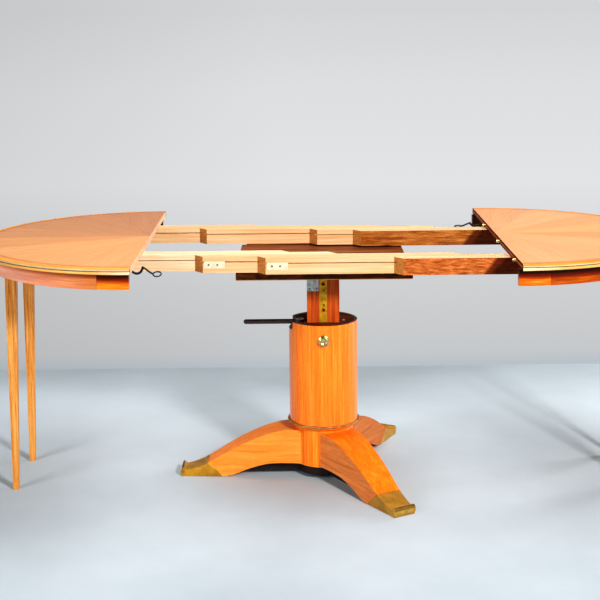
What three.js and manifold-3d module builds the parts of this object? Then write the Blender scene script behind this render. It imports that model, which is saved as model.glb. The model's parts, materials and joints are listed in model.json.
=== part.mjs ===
// Pedestal table with a round top that parts in two halves on wooden slides, a post
// that rises out of a round column, three sabre feet and four plug-in legs.
// Millimetres, +Z up. The origin is on the floor under the column's axis, and the
// halves pull apart along X. The table is drawn raised and pulled open.
import * as THREE from 'three';
import { mergeVertices } from 'three/addons/utils/BufferGeometryUtils.js';
import Module from 'manifold-3d';

const wasm = await Module();
wasm.setup();

// Clearances
const seat = 0.3; // between two pieces that are fixed face to face
const slideGap = 0.6; // between two pieces that run on each other
const overrun = 4; // how far a cutting shape runs past the face it cuts

// Round top, in two halves
const topHeight = 750; // floor to table top with the post raised
const topRadius = 518;
const topThickness = 18;
const meetingGap = 1; // between the halves when the table is closed
const halfTravel = 525.5; // how far each half is pulled out
const lippingWidth = 15;
const edgeRounding = 6;
const beadHeight = 8;
const grooveHeight = 2;
const grooveDepth = 2.5;
const pinRadius = 4;
const pinSunk = 14;
const pinProud = 10;
const pinRise = 8; // from the top's underside
const pinSpacing = 300;
const pinOffset = -95; // the middle pin's place along the joint
const pinCount = 3;

// Aprons under the halves
const apronSetIn = 28; // from the top's edge
const apronThickness = 20;
const apronHeight = 46;
const apronBlockLength = 88;
const apronSetback = 6; // the left apron ends this far inside its half's edge
const apronLead = 7; // the right apron ends this far outside its half's edge

// Slides: two sets of five rails, the rear set being the front set turned half round
const railSetOffset = 239; // the middle rail's distance from the table's long axis
const railThickness = 30;
const railHeight = 48;
const railSlant = 24; // how far the slanted ends run along the rail
const railEndGap = 24; // from a half's rails to its apron
const innerRailOut = 413; // how far the left half's front rail stands out of it
const outerRailOut = 316; // how far the right half's front rail stands out of it
const secondRailEnd = 25;
const secondRailLength = 695;
const fixedRailStart = -361;
const fixedRailLength = 741;
const fourthRailStart = -180;
const frontFourthRailLength = 690;
const rearFourthRailLength = 720;
const fourthTravelShare = 0.35475; // of a half's travel
const kerfHeight = 3;
const kerfDepth = 8;
const kerfDrop = 16; // from the rail's top to the middle of the kerf
const tongueHeight = 2;
const tongueReach = 6; // into the neighbour's kerf
const tongueLength = 250;
const tongueInset = 35;
const plateLength = 60;
const plateHeight = 21;
const plateThickness = 2;
const plateInset = 4;
const plateDrop = 14;

// Board that carries the slides
const boardLength = 512;
const boardWidth = 476;
const boardThickness = 22;
const packerThickness = 4.4;
const packerWidth = 12;
const packerLength = 480;

// Rising post
const postWidth = 98;
const postTail = 98; // how far the raised post reaches below the knob
const stripWidth = 24;
const stripThickness = 2;
const detentCount = 3;
const detentSpanShare = 0.7638; // of the post's length above the knob
const detentDepth = 10;
const bracketWidth = 35;
const bracketDrop = 73;
const bracketArm = 60;
const bracketThickness = 2.5;

// Column and hub
const rimHeight = 488;
const columnRadius = 105;
const columnWall = 10;
const columnFoot = 170;
const ringWidth = 6.5;
const ringHeight = 6;
const capThickness = 12;
const capDrop = 1;
const guideWall = 8;
const hubRadius = 90;
const hubBottom = 41;
const flangeOverhang = 13;
const flangeThickness = 6;
const ironRadius = 80;
const ironBottom = 12;
const ironArmReach = 240;
const ironArmWidth = 44;

// Height knob with its plunger
const knobHeight = 443;
const knobRadius = 17.5;
const knobThickness = 14;
const knobRim = 3;
const plungerRadius = 5;

// Locking lever
const leverDrop = 8; // from the rim to the lever's axis
const leverRadius = 7.5;
const leverReach = 245;
const leverPivotPlace = 72;
const pivotRadius = 5;
const camRadius = 14;
const shelfWidth = 40;
const shelfThickness = 6;
const shelfDrop = 40;
const notchWidth = 92;
const notchDepth = 25;
const notchRounding = 14;

// Sabre feet and their brass toe caps
const footCount = 3;
const footReach = 443;
const footCrown = 150; // height of the foot's back where it meets the hub
const footWidth = 110; // at the hub
const toeWidth = 70;
const toeCapReach = 357; // where the cap starts on the foot's back
const toeCapSole = 310; // where the cap starts on the floor
const toeCapBack = 42; // height of the foot's back where the cap starts
const toeLipHeight = 28.5;
const toeLipThickness = 9;
const toeTenonWidth = 54;
const toeTenonHeight = 14;
const toeTenonBottom = 5;
const toeTenonReach = 402;
const soleGap = 1; // between the wood and the floor behind the cap
const footBackShares = [
  [0.14, 0.99], [0.25, 1], [0.32, 0.973], [0.434, 0.873], [0.562, 0.71],
  [0.685, 0.513], [0.815, 0.28], [0.9, 0.178], [0.965, 0.128],
];
const footArchShares = [
  [0.14, 0.28], [0.22, 0.29], [0.33, 0.288], [0.413, 0.262], [0.53, 0.163], [0.63, 0.04], [0.7, 0],
];

// Plug-in legs
const legTopWidth = 34;
const legFootWidth = 17.5;
const legSplay = 10; // how far the foot of a leg stands outside its head
const legInset = 70; // from the apron's inner face
const legSpread = 129; // each side of the long axis
const legBlockLength = 46;
const legBlockThickness = 32;
const legBlockMargin = 10; // beyond the legs
const tenonRadius = 10;
const tenonLength = 24;

// Hooks that hold the halves together
const hookPlaceShare = 0.2248; // of the way from the rails to the apron
const leftHookInset = 20; // from the half's inner edge
const leftHookDrop = 27; // from the rod's upper bend to the eye
const rightHookInset = 6;
const rightHookDrop = 15;
const hookRodRadius = 3;
const hookRodReach = 38; // from the pivot to the rod's upturned end
const hookHole = 8; // how deep the pivot goes into the top
const hookWireRadius = 2.3;
const hookEyeReach = 76;
const hookEyeRadius = 11.5;
const hookEyeWire = 1.9;
const hookEyeTilt = 25; // degrees, lower on the outside
const hookPlateLength = 30;
const hookPlateWidth = 16;
const hookPlateThickness = 1.5;
const catchRadius = 3;
const catchPostRadius = 4;
const catchLength = 15;
const catchClearance = 3;
const hookRodShares = [[0, 0], [0, -0.3], [0.1, -0.66], [0.5, -1], [0.87, -0.72], [0.98, -0.22]];
const hookWireShares = [[0.47, -0.26], [0.54, -0.34], [0.66, -0.63], [0.87, -0.98]];

// How finely round things are drawn
const topSegments = 112;
const columnSegments = 48;
const smallSegments = 16;
const wireSides = 8;
const curveSteps = 14;
const wireSteps = 28;

// Heights and places that follow from the sizes above
const underTop = topHeight - topThickness;
const railTop = underTop - seat;
const railBottom = railTop - railHeight;
const railPitch = railThickness + slideGap;
const boardTop = railBottom - seat - packerThickness - seat;
const boardBottom = boardTop - boardThickness;
const postTop = boardBottom - seat;
const postBottom = knobHeight - postTail;
const detentPitch = ((postTop - knobHeight) * detentSpanShare) / (detentCount - 1);
const columnInside = columnRadius - columnWall;
const capTop = rimHeight - capDrop;
const guideInside = postWidth / 2 + slideGap;
const guideOutside = guideInside + guideWall;
const leverHeight = rimHeight - leverDrop;
const innerEdge = meetingGap / 2;
const apronRadius = topRadius - apronSetIn;
const apronInside = apronRadius - apronThickness;
const legSetback = apronInside - legInset - innerEdge;
const railsOutside = railSetOffset + railPitch * 2 + railThickness / 2;
const hookPlace = railsOutside + (apronInside - railsOutside) * hookPlaceShare; // from the long axis
const openEdge = innerEdge + halfTravel;
const fourthRailTravel = halfTravel * fourthTravelShare;
const hookRodTop = underTop - hookRodRadius - slideGap;
const plungerHole = plungerRadius + slideGap;

// Finishes
const finish = (color, roughness, metalness = 0) => new THREE.MeshStandardMaterial({ color, roughness, metalness });
const topVeneer = finish(0xd9a066, 0.25);
const lippingWood = finish(0xe2b866, 0.25);
const columnVeneer = finish(0xc9752e, 0.25);
const postWood = finish(0xa94f28, 0.35);
const slideWood = finish(0xe3bd85, 0.6);
const facedSlideWood = finish(0xb8622f, 0.5);
const boardWood = finish(0x6b3d22, 0.6);
const legWood = finish(0xa9702f, 0.4);
const capWood = finish(0x3b1a14, 0.4);
const brass = finish(0xb08d3c, 0.35, 1);
const steel = finish(0xc9c9c4, 0.5, 1);
const blackIron = finish(0x17120f, 0.5, 0.6);

// A closed mesh as a solid that can be cut and joined
function solid(geometry) {
  geometry.deleteAttribute('normal');
  geometry.deleteAttribute('uv');
  const merged = mergeVertices(geometry);
  const vertProperties = new Float32Array(merged.attributes.position.array);
  const triVerts = new Uint32Array(merged.index.array);
  return new wasm.Manifold(new wasm.Mesh({ numProp: 3, vertProperties, triVerts }));
}

// A solid as a mesh's geometry
function geometryOf(shape) {
  const { vertProperties, triVerts, numProp } = shape.getMesh();
  const geometry = new THREE.BufferGeometry();
  const positions = new Float32Array((vertProperties.length / numProp) * 3);
  for (let i = 0; i < positions.length / 3; i += 1) {
    for (let k = 0; k < 3; k += 1) positions[3 * i + k] = vertProperties[numProp * i + k];
  }
  geometry.setAttribute('position', new THREE.BufferAttribute(positions, 3));
  geometry.setIndex(new THREE.BufferAttribute(new Uint32Array(triVerts), 1));
  return geometry;
}

function addPart(group, name, shape, material) {
  const geometry = shape.isBufferGeometry ? shape : geometryOf(shape);
  const mesh = new THREE.Mesh(geometry, material);
  mesh.name = name;
  group.add(mesh);
  return mesh;
}

// A block between two corners
function block([x0, y0, z0], [x1, y1, z1]) {
  const geometry = new THREE.BoxGeometry(x1 - x0, y1 - y0, z1 - z0);
  return solid(geometry.translate((x0 + x1) / 2, (y0 + y1) / 2, (z0 + z1) / 2));
}

// A round bar along Z, Y or X, between two places on that axis
function bar(axis, radius, from, to, [u, v], segments = smallSegments) {
  const geometry = new THREE.CylinderGeometry(radius, radius, to - from, segments);
  geometry.translate(0, (from + to) / 2, 0);
  if (axis === 'z') return solid(geometry.rotateX(Math.PI / 2).translate(u, v, 0));
  if (axis === 'y') return solid(geometry.translate(u, 0, v));
  return solid(geometry.rotateZ(-Math.PI / 2).translate(0, u, v));
}

// A profile of [radius, height] pairs turned about Z
function turned(profile, segments) {
  const points = profile.map(([r, z]) => new THREE.Vector2(r, z));
  return solid(new THREE.LatheGeometry(points, segments).rotateX(Math.PI / 2));
}

function ring(inner, outer, bottom, top, segments) {
  return turned([[inner, bottom], [outer, bottom], [outer, top], [inner, top], [inner, bottom]], segments);
}

// A flat outline in X and Z, as thick as asked each side of Y = 0
function sideShape(outline, thickness) {
  const shape = new THREE.Shape(outline.map(([x, z]) => new THREE.Vector2(x, z)));
  const geometry = new THREE.ExtrudeGeometry(shape, { depth: thickness, bevelEnabled: false });
  return solid(geometry.rotateX(Math.PI / 2).translate(0, thickness / 2, 0));
}

// An outline in X and Y, raised from one height to another
function planShape(outline, bottom, top) {
  const shape = new THREE.Shape(outline.map(([x, y]) => new THREE.Vector2(x, y)));
  const geometry = new THREE.ExtrudeGeometry(shape, { depth: top - bottom, bevelEnabled: false });
  return solid(geometry.translate(0, 0, bottom));
}

function smoothLine(shares, length, height) {
  const points = shares.map(([u, v]) => new THREE.Vector2(u * length, v * height));
  return new THREE.SplineCurve(points).getPoints(curveSteps).map((p) => [p.x, p.y]);
}

// Hub: one turned block that the feet are fixed round, with a flange for the column
function makeHub() {
  const flangeRadius = hubRadius + flangeOverhang;
  const top = columnFoot - seat;
  const shoulder = top - flangeThickness;
  return turned([
    [0, hubBottom],
    [hubRadius, hubBottom],
    [hubRadius, shoulder - flangeThickness],
    [flangeRadius, shoulder],
    [flangeRadius, top],
    [0, top],
  ], columnSegments);
}

// Whole foot seen from the side, from inside the hub to the toe, along +X
function footOutline() {
  const back = smoothLine(footBackShares, footReach, footCrown);
  const arch = smoothLine(footArchShares, footReach, footCrown).map(([x, z]) => [x, z + soleGap]);
  const lipInside = footReach - toeLipThickness;
  const lipSide = toeLipThickness / 4;
  const lip = [
    [lipInside + lipSide, toeLipHeight - lipSide],
    [footReach - toeLipThickness / 2, toeLipHeight],
    [footReach, toeLipHeight - toeLipThickness / 2],
    [footReach, lipSide],
    [footReach - lipSide, 0],
    [toeCapSole, 0],
  ];
  const backPoints = back.filter(([x]) => x < lipInside);
  const archPoints = arch.filter(([x]) => x < toeCapSole - overrun).reverse();
  return [...backPoints, ...lip, [toeCapSole, soleGap], ...archPoints];
}

function halfWidthAt(reach) {
  const taper = (footWidth - toeWidth) / 2 / (footReach - hubRadius);
  return toeWidth / 2 + (footReach - reach) * taper;
}

function footWhole() {
  const outline = footOutline();
  const start = outline[0][0] - overrun;
  const end = footReach + overrun;
  const plan = planShape([
    [start, -halfWidthAt(start)],
    [end, -halfWidthAt(end)],
    [end, halfWidthAt(end)],
    [start, halfWidthAt(start)],
  ], -overrun, footCrown + overrun);
  return sideShape(outline, footWidth * 2).intersect(plan);
}

// Everything beyond the slanted line where the brass starts
function beyondCapLine(offset) {
  const lineAt = (z) => toeCapSole + offset + ((toeCapReach - toeCapSole) * z) / toeCapBack;
  const top = footCrown + overrun;
  const far = Math.max(footReach, lineAt(top)) + overrun;
  return sideShape([[lineAt(-overrun), -overrun], [far, -overrun], [far, top], [lineAt(top), top]], footWidth * 2);
}

function toeTenon(gap) {
  return block(
    [toeCapSole, -toeTenonWidth / 2 - gap, toeTenonBottom - gap],
    [toeTenonReach + gap, toeTenonWidth / 2 + gap, toeTenonBottom + toeTenonHeight + gap],
  );
}

function makeFoot() {
  const hubSpace = bar('z', hubRadius + seat, hubBottom - overrun, columnFoot, [0, 0], columnSegments);
  const wood = footWhole().subtract(beyondCapLine(-seat)).subtract(hubSpace);
  const tenon = toeTenon(0).intersect(footWhole());
  return wood.add(tenon);
}

function makeToeCap() {
  return footWhole().intersect(beyondCapLine(0)).subtract(toeTenon(seat));
}

// Cast iron under the hub, with an arm under each foot's arch
function makeIronBase() {
  const top = hubBottom - seat;
  let iron = bar('z', ironRadius, ironBottom, top, [0, 0], columnSegments);
  const foot = footWhole().translate([0, 0, -seat]);
  const arm = block([0, -ironArmWidth / 2, ironBottom], [ironArmReach, ironArmWidth / 2, top]).subtract(foot);
  for (let i = 0; i < footCount; i += 1) iron = iron.add(arm.rotate([0, 0, 180 + (360 / footCount) * i]));
  return iron;
}

// Column: hollow veneered drum with a notch in its rim for the lever
function makeColumnShell() {
  const shell = ring(columnInside, columnRadius, columnFoot, rimHeight, columnSegments);
  const low = rimHeight - notchDepth;
  const side = notchWidth / 2;
  const shape = new THREE.Shape();
  shape.moveTo(-side, notchDepth + overrun);
  shape.lineTo(-side, notchRounding);
  shape.absarc(-side + notchRounding, notchRounding, notchRounding, Math.PI, Math.PI * 1.5);
  shape.absarc(side - notchRounding, notchRounding, notchRounding, Math.PI * 1.5, Math.PI * 2);
  shape.lineTo(side, notchDepth + overrun);
  const cut = new THREE.ExtrudeGeometry(shape, { depth: columnRadius, bevelEnabled: false, curveSegments: 4 });
  cut.rotateX(Math.PI / 2).rotateZ(Math.PI / 2).translate(-columnRadius - overrun, 0, low);
  const notch = solid(cut);
  const hole = bar('y', plungerHole, -columnRadius - overrun, 0, [0, knobHeight]);
  return shell.subtract(notch).subtract(hole);
}

function makeColumnRing() {
  const inner = columnRadius + seat;
  const outer = inner + ringWidth;
  const chamfer = ringHeight / 3;
  return turned([
    [inner, columnFoot],
    [outer - chamfer, columnFoot],
    [outer, columnFoot + chamfer],
    [outer, columnFoot + ringHeight - chamfer],
    [outer - chamfer, columnFoot + ringHeight],
    [inner, columnFoot + ringHeight],
    [inner, columnFoot],
  ], columnSegments);
}

// Cap: a disc round the post, open on the lever's side
function makeColumnCap() {
  const radius = columnInside - seat;
  const disc = bar('z', radius, capTop - capThickness, capTop, [0, 0], columnSegments);
  const low = capTop - capThickness - overrun;
  const high = capTop + overrun;
  const postHole = block([-guideInside, -guideInside, low], [guideInside, guideInside, high]);
  const well = block([-radius - overrun, -notchWidth / 2, low], [-guideOutside, notchWidth / 2, high]);
  return disc.subtract(postHole).subtract(well);
}

// Square tube in the column that guides the post
function makePostGuide() {
  const low = columnFoot;
  const high = capTop - capThickness - seat;
  const outside = block([-guideOutside, -guideOutside, low], [guideOutside, guideOutside, high]);
  const inside = block([-guideInside, -guideInside, low - overrun], [guideInside, guideInside, high + overrun]);
  const hole = bar('y', plungerHole, -guideOutside - overrun, 0, [0, knobHeight]);
  return outside.subtract(inside).subtract(hole);
}

// Shelf on the guide's side, with the stud that the lever turns on
function makeLeverPivot() {
  const wall = -guideOutside - seat;
  const shelfTop = leverHeight - leverRadius - seat;
  const shelfEnd = -leverPivotPlace - camRadius;
  const side = shelfWidth / 2;
  const shelf = block([shelfEnd, -side, shelfTop - shelfThickness], [wall, side, shelfTop]);
  const leaf = block([wall - shelfThickness / 2, -side, shelfTop - shelfDrop], [wall, side, shelfTop]);
  const stud = bar('z', pivotRadius, shelfTop - shelfThickness / 2, leverHeight + leverRadius, [-leverPivotPlace, 0]);
  return shelf.add(leaf).add(stud);
}

function makeLockLever() {
  const low = leverHeight - leverRadius;
  const high = leverHeight + leverRadius;
  const cam = bar('z', camRadius, low, high, [-leverPivotPlace, 0], columnSegments / 2);
  const start = (pivotRadius + camRadius) / 2;
  const length = leverReach - leverPivotPlace;
  const profile = [[0, start], [leverRadius, start]];
  const round = new THREE.Path().absarc(0, length - leverRadius, leverRadius, 0, Math.PI / 2).getPoints(4);
  round.forEach((p) => profile.push([Math.max(p.x, 0), p.y]));
  profile[profile.length - 1][0] = 0;
  const rod = turned(profile, smallSegments).rotate([0, -90, 0]).translate([-leverPivotPlace, 0, leverHeight]);
  const hole = bar('z', pivotRadius + seat, low - overrun, high + overrun, [-leverPivotPlace, 0]);
  return cam.add(rod).subtract(hole);
}

// Knob with a rolled rim, and the plunger that it pulls
function makeHeightKnob() {
  const face = columnRadius + slideGap;
  const front = face + knobThickness;
  const rim = knobRim / 2;
  return turned([
    [0, face],
    [knobRadius - knobRim, face],
    [knobRadius, face + rim],
    [knobRadius, face + knobRim],
    [knobRadius - knobRim, face + knobRim + rim],
    [knobRadius - knobRim, front - knobRim],
    [knobRadius - knobRim * 2, front],
    [0, front],
  ], smallSegments * 2).rotate([90, 0, 0]).translate([0, 0, knobHeight]);
}

function makePlunger() {
  const tip = postWidth / 2 + slideGap;
  return bar('y', plungerRadius, -columnRadius - slideGap + seat, -tip, [0, knobHeight]);
}

// Post: square, with let-in places for the strip, the brackets and the detent holes
function makePost() {
  const half = postWidth / 2;
  let post = block([-half, -half, postBottom], [half, half, postTop]);
  const recess = stripWidth / 2 + seat;
  post = post.subtract(block(
    [-recess, -half - overrun, postBottom - overrun],
    [recess, -half + stripThickness + seat, postTop + overrun],
  ));
  for (let i = 0; i < detentCount; i += 1) {
    const z = knobHeight + detentPitch * i;
    post = post.subtract(bar('y', plungerHole, -half - overrun, -half + detentDepth, [0, z]));
  }
  const bracketSpace = block(
    [-half - overrun, -half - overrun, postTop - bracketDrop - seat],
    [-half + bracketWidth + seat, -half + bracketThickness + seat, postTop + overrun],
  );
  return post.subtract(bracketSpace).subtract(bracketSpace.rotate([0, 0, 180]));
}

function makePostStrip() {
  const half = postWidth / 2;
  let strip = block([-stripWidth / 2, -half, postBottom], [stripWidth / 2, -half + stripThickness, postTop]);
  for (let i = 0; i < detentCount; i += 1) {
    const z = knobHeight + detentPitch * i;
    strip = strip.subtract(bar('y', plungerHole, -half - overrun, -half + detentDepth, [0, z]));
  }
  return strip;
}

// Steel angle between the post's front face and the board
function makeBracket() {
  const half = postWidth / 2;
  const right = -half + bracketWidth;
  const leaf = block([-half, -half, postTop - bracketDrop], [right, -half + bracketThickness, postTop]);
  const arm = block([-half, -half - bracketArm, postTop - bracketThickness], [right, -half + bracketThickness, postTop]);
  return leaf.add(arm);
}

function makeBoard() {
  return block([-boardLength / 2, -boardWidth / 2, boardBottom], [boardLength / 2, boardWidth / 2, boardTop]);
}

// Strip that fills the gap between the board's edge and the fixed rail
function makePacker() {
  const back = -boardWidth / 2 + packerWidth;
  const low = boardTop + seat;
  return block([-packerLength / 2, -boardWidth / 2, low], [packerLength / 2, back, low + packerThickness]);
}

// A slide rail of the front set. Its ends are cut at a slant, so that its front face lies
// further right than its back face, but the fourth rail's right end is cut square. A kerf runs
// along each face that meets a neighbour, and a tongue in one kerf runs in the neighbour's.
const railCentre = (order) => -railSetOffset + (3 - order) * railPitch;
const kerfHigh = railTop - kerfDrop;

function railBlank(left, right, y, squareEnd) {
  const half = railThickness / 2;
  const slant = railSlant / 2;
  return planShape([
    [left + slant, y - half],
    [right + slant, y - half],
    [squareEnd ? right + slant : right - slant, y + half],
    [left - slant, y + half],
  ], railBottom, railTop);
}

function kerf(left, right, y, side) {
  const face = y + (side * railThickness) / 2;
  const bottom = face - side * kerfDepth;
  const beyond = face + side * overrun;
  return block(
    [left - railThickness, Math.min(bottom, beyond), kerfHigh - kerfHeight / 2],
    [right + railThickness, Math.max(bottom, beyond), kerfHigh + kerfHeight / 2],
  );
}

function tongue(start, end, y, side) {
  const face = y + (side * railThickness) / 2;
  const root = face - side * (kerfDepth + overrun / 2);
  const tip = face + side * (slideGap + tongueReach);
  return block(
    [start, Math.min(root, tip), kerfHigh - tongueHeight / 2],
    [end, Math.max(root, tip), kerfHigh + tongueHeight / 2],
  );
}

const frontSide = -1;
const backSide = 1;

// A steel plate let into the front face at the rail's left end, over the kerf
function plateBox(left, y, gap) {
  const face = y - railThickness / 2;
  const start = left + railSlant / 2 + plateInset;
  const top = railTop - plateDrop;
  return block(
    [start - gap, face - (gap > 0 ? overrun : 0), top - plateHeight - gap],
    [start + plateLength + gap, face + plateThickness + gap, top + gap],
  );
}

function makeRail(left, right, order, { kerfs, tongueSpan = null, plate = false, squareEnd = false }) {
  const y = railCentre(order);
  let rail = railBlank(left, right, y, squareEnd);
  for (const side of kerfs) rail = rail.subtract(kerf(left, right, y, side));
  if (tongueSpan) {
    const [start, end, side] = tongueSpan;
    rail = rail.add(tongue(start, end, y, side));
  }
  if (plate) rail = rail.subtract(plateBox(left, y, seat));
  return rail;
}

const plateEnd = railSlant / 2 + plateInset + plateLength;

// How far from the middle of the pulled-out half's edge a rail of the half may reach
function reachInHalf(order) {
  const outerFace = Math.abs(railCentre(order)) + railThickness / 2;
  return Math.sqrt(apronInside ** 2 - outerFace ** 2) - railEndGap;
}

function makeInnerRail() {
  const innerRailEnd = -openEdge + innerRailOut;
  const tongueEnd = innerRailEnd - tongueInset;
  return makeRail(-openEdge - reachInHalf(1), innerRailEnd, 1, {
    kerfs: [frontSide],
    tongueSpan: [tongueEnd - tongueLength, tongueEnd, frontSide],
  });
}

function makeSecondRail() {
  const tongueEnd = secondRailEnd - tongueInset;
  return makeRail(secondRailEnd - secondRailLength, secondRailEnd, 2, {
    kerfs: [frontSide, backSide],
    tongueSpan: [tongueEnd - tongueLength, tongueEnd, frontSide],
  });
}

function makeFixedRail() {
  return makeRail(fixedRailStart, fixedRailStart + fixedRailLength, 3, {
    kerfs: [frontSide, backSide],
    plate: true,
  });
}

// The fourth rail's tongue stops against the fixed rail's plate when the table is closed
function makeFourthRail(length) {
  const tongueStart = fixedRailStart + plateEnd + fourthRailTravel + slideGap;
  return makeRail(fourthRailStart, fourthRailStart + length, 4, {
    kerfs: [frontSide, backSide],
    tongueSpan: [tongueStart, tongueStart + tongueLength, backSide],
    plate: true,
    squareEnd: true,
  });
}

function makeOuterRail() {
  const outerRailStart = openEdge - outerRailOut;
  const tongueStart = fourthRailStart + plateEnd + halfTravel - fourthRailTravel + slideGap;
  return makeRail(outerRailStart, openEdge + reachInHalf(5) - railSlant / 2, 5, {
    kerfs: [backSide],
    tongueSpan: [tongueStart, tongueStart + tongueLength, backSide],
  });
}

// One half of the round top, closed against its neighbour, on the left of the joint
function leftOfJoint(shape) {
  const reach = topRadius + overrun;
  return shape.intersect(block([-reach, -reach, 0], [-innerEdge, reach, topHeight + overrun]));
}

function pinPlaces(mirrored) {
  const side = mirrored ? -1 : 1;
  const middle = (pinCount - 1) / 2;
  return Array.from({ length: pinCount }, (_, i) => side * (pinOffset + (i - middle) * pinSpacing));
}

function makeHalfTop(mirrored) {
  const disc = bar('z', topRadius - lippingWidth, underTop, topHeight, [0, 0], topSegments);
  let half = leftOfJoint(disc);
  const depth = mirrored ? pinSunk : pinProud + meetingGap + slideGap;
  for (const y of pinPlaces(mirrored)) {
    const hole = bar('x', pinRadius + seat, -innerEdge - depth - seat, overrun, [y, underTop + pinRise]);
    half = half.subtract(hole);
  }
  const inset = mirrored ? rightHookInset : leftHookInset;
  const pivot = [-innerEdge - inset, -hookPlace];
  return half.subtract(bar('z', hookRodRadius + seat, underTop - overrun, underTop + hookHole + seat, pivot));
}

function makePin(y) {
  return bar('x', pinRadius, -innerEdge - pinSunk, -innerEdge + pinProud, [y, underTop + pinRise]);
}

// Solid lipping: rounded on top, then a groove, then a bead
function makeLipping() {
  const inner = topRadius - lippingWidth + seat;
  const beadRadius = beadHeight / 2;
  const beadTop = underTop + beadHeight;
  const grooveTop = beadTop + grooveHeight;
  const upperFace = topRadius - grooveDepth / 2;
  const grooveFace = topRadius - grooveDepth * 2;
  const profile = [[inner, underTop], [topRadius - beadRadius, underTop]];
  const bead = new THREE.Path().absarc(topRadius - beadRadius, underTop + beadRadius, beadRadius, -Math.PI / 2, Math.PI / 2);
  bead.getPoints(2).slice(1, -1).forEach((p) => profile.push([p.x, p.y]));
  profile.push([topRadius - beadRadius, beadTop], [grooveFace, beadTop], [grooveFace, grooveTop], [upperFace, grooveTop]);
  const arc = new THREE.Path().absarc(upperFace - edgeRounding, topHeight - edgeRounding, edgeRounding, 0, Math.PI / 2);
  arc.getPoints(2).forEach((p) => profile.push([p.x, p.y]));
  profile.push([inner, topHeight], [inner, underTop]);
  return leftOfJoint(turned(profile, topSegments));
}

// The aprons meet beside the tops' joint: one ends inside its half's edge, the other outside
const apronEndPlace = (mirrored) => -innerEdge + (mirrored ? apronLead : -apronSetback);

function apronRing(mirrored) {
  const whole = ring(apronInside, apronRadius, underTop - apronHeight, railTop, topSegments);
  const reach = apronRadius + overrun;
  return whole.intersect(block([-reach, -reach, 0], [apronEndPlace(mirrored), reach, topHeight]));
}

// Separate piece at the apron's front end
function apronBlock(mirrored, gap) {
  const end = apronEndPlace(mirrored);
  const reach = apronRadius + overrun;
  const side = mirrored ? 1 : -1;
  const low = Math.min(0, side * reach);
  return block([end - apronBlockLength - gap, low, 0], [end + overrun, low + reach, topHeight]);
}

// Block under each half's outer end that the legs plug into
function makeLegBlock() {
  const middle = -innerEdge - legSetback;
  const side = legSpread + legTopWidth / 2 + legBlockMargin;
  const low = railTop - legBlockThickness;
  let body = block([middle - legBlockLength / 2, -side, low], [middle + legBlockLength / 2, side, railTop]);
  for (const y of [-legSpread, legSpread]) {
    body = body.subtract(bar('z', tenonRadius + seat, low - overrun, low + tenonLength + seat, [middle, y]));
  }
  return body;
}

// Square tapered leg with a round tenon, leaning outwards a little
function makeLeg(y) {
  const top = railTop - legBlockThickness - seat;
  const corner = Math.SQRT2 / 2;
  const shaft = new THREE.CylinderGeometry(legTopWidth * corner, legFootWidth * corner, top, 4);
  shaft.rotateY(Math.PI / 4).rotateX(Math.PI / 2).translate(0, 0, -top / 2);
  shaft.applyMatrix4(new THREE.Matrix4().makeShear(0, 0, 0, 0, legSplay / top, 0)).translate(0, 0, top);
  const tenon = bar('z', tenonRadius, top - overrun, top + tenonLength, [0, 0]);
  return solid(shaft).add(tenon).translate([-innerEdge - legSetback, y, 0]);
}

const leftHook = { inset: leftHookInset, drop: leftHookDrop };
const rightHook = { inset: rightHookInset, drop: rightHookDrop };

// Bent hook: a thick rod that pivots in the top, then a wire that ends in an eye
function rodAlong(shares, reach, drop, radius) {
  const points = shares.map(([u, v]) => new THREE.Vector3(u * reach, 0, v * drop));
  const geometry = new THREE.ExtrudeGeometry(new THREE.Shape().absarc(0, 0, radius, 0, Math.PI * 2), {
    steps: wireSteps,
    bevelEnabled: false,
    extrudePath: new THREE.CatmullRomCurve3(points),
    curveSegments: wireSides / 2,
  });
  return solid(geometry);
}

function makeHook({ inset, drop }) {
  const rod = rodAlong(hookRodShares, hookRodReach, drop, hookRodRadius);
  const wire = rodAlong(hookWireShares, hookEyeReach, drop, hookWireRadius);
  const pivot = bar('z', hookRodRadius, -overrun, underTop + hookHole - hookRodTop, [0, 0], wireSides);
  const eye = new THREE.TorusGeometry(hookEyeRadius, hookEyeWire, wireSides, smallSegments);
  eye.rotateX(THREE.MathUtils.degToRad(hookEyeTilt)).translate(hookEyeReach, 0, -drop);
  const hook = rod.add(wire).add(pivot).add(solid(eye));
  return hook.translate([-innerEdge - inset, -hookPlace, hookRodTop]);
}

// Plate on the underside that the pivot goes through
function makeHookPlate({ inset }) {
  const x = -innerEdge - inset;
  const end = Math.min(x + hookPlateLength / 2, -innerEdge);
  const side = hookPlateWidth / 2;
  const plate = block(
    [end - hookPlateLength, -hookPlace - side, railTop - hookPlateThickness],
    [end, -hookPlace + side, railTop],
  );
  const pivot = [x, -hookPlace];
  return plate.subtract(bar('z', hookRodRadius + seat, railTop - hookPlateThickness - overrun, underTop, pivot));
}

// Catch for the other half's hook: a stem with a peg beside the eye
function makeCatch({ inset, drop }) {
  const x = innerEdge + inset - hookEyeReach;
  const height = hookRodTop - drop;
  const pegTip = hookPlace + hookEyeRadius + hookEyeWire + catchClearance;
  const stemPlace = pegTip + catchLength;
  const stem = bar('z', catchPostRadius, height - catchPostRadius, railTop, [x, stemPlace]);
  const peg = bar('y', catchRadius, pegTip, stemPlace, [x, height]);
  return stem.add(peg);
}

// Assembly
const table = new THREE.Group();
const turnedHalf = Math.PI;

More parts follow.
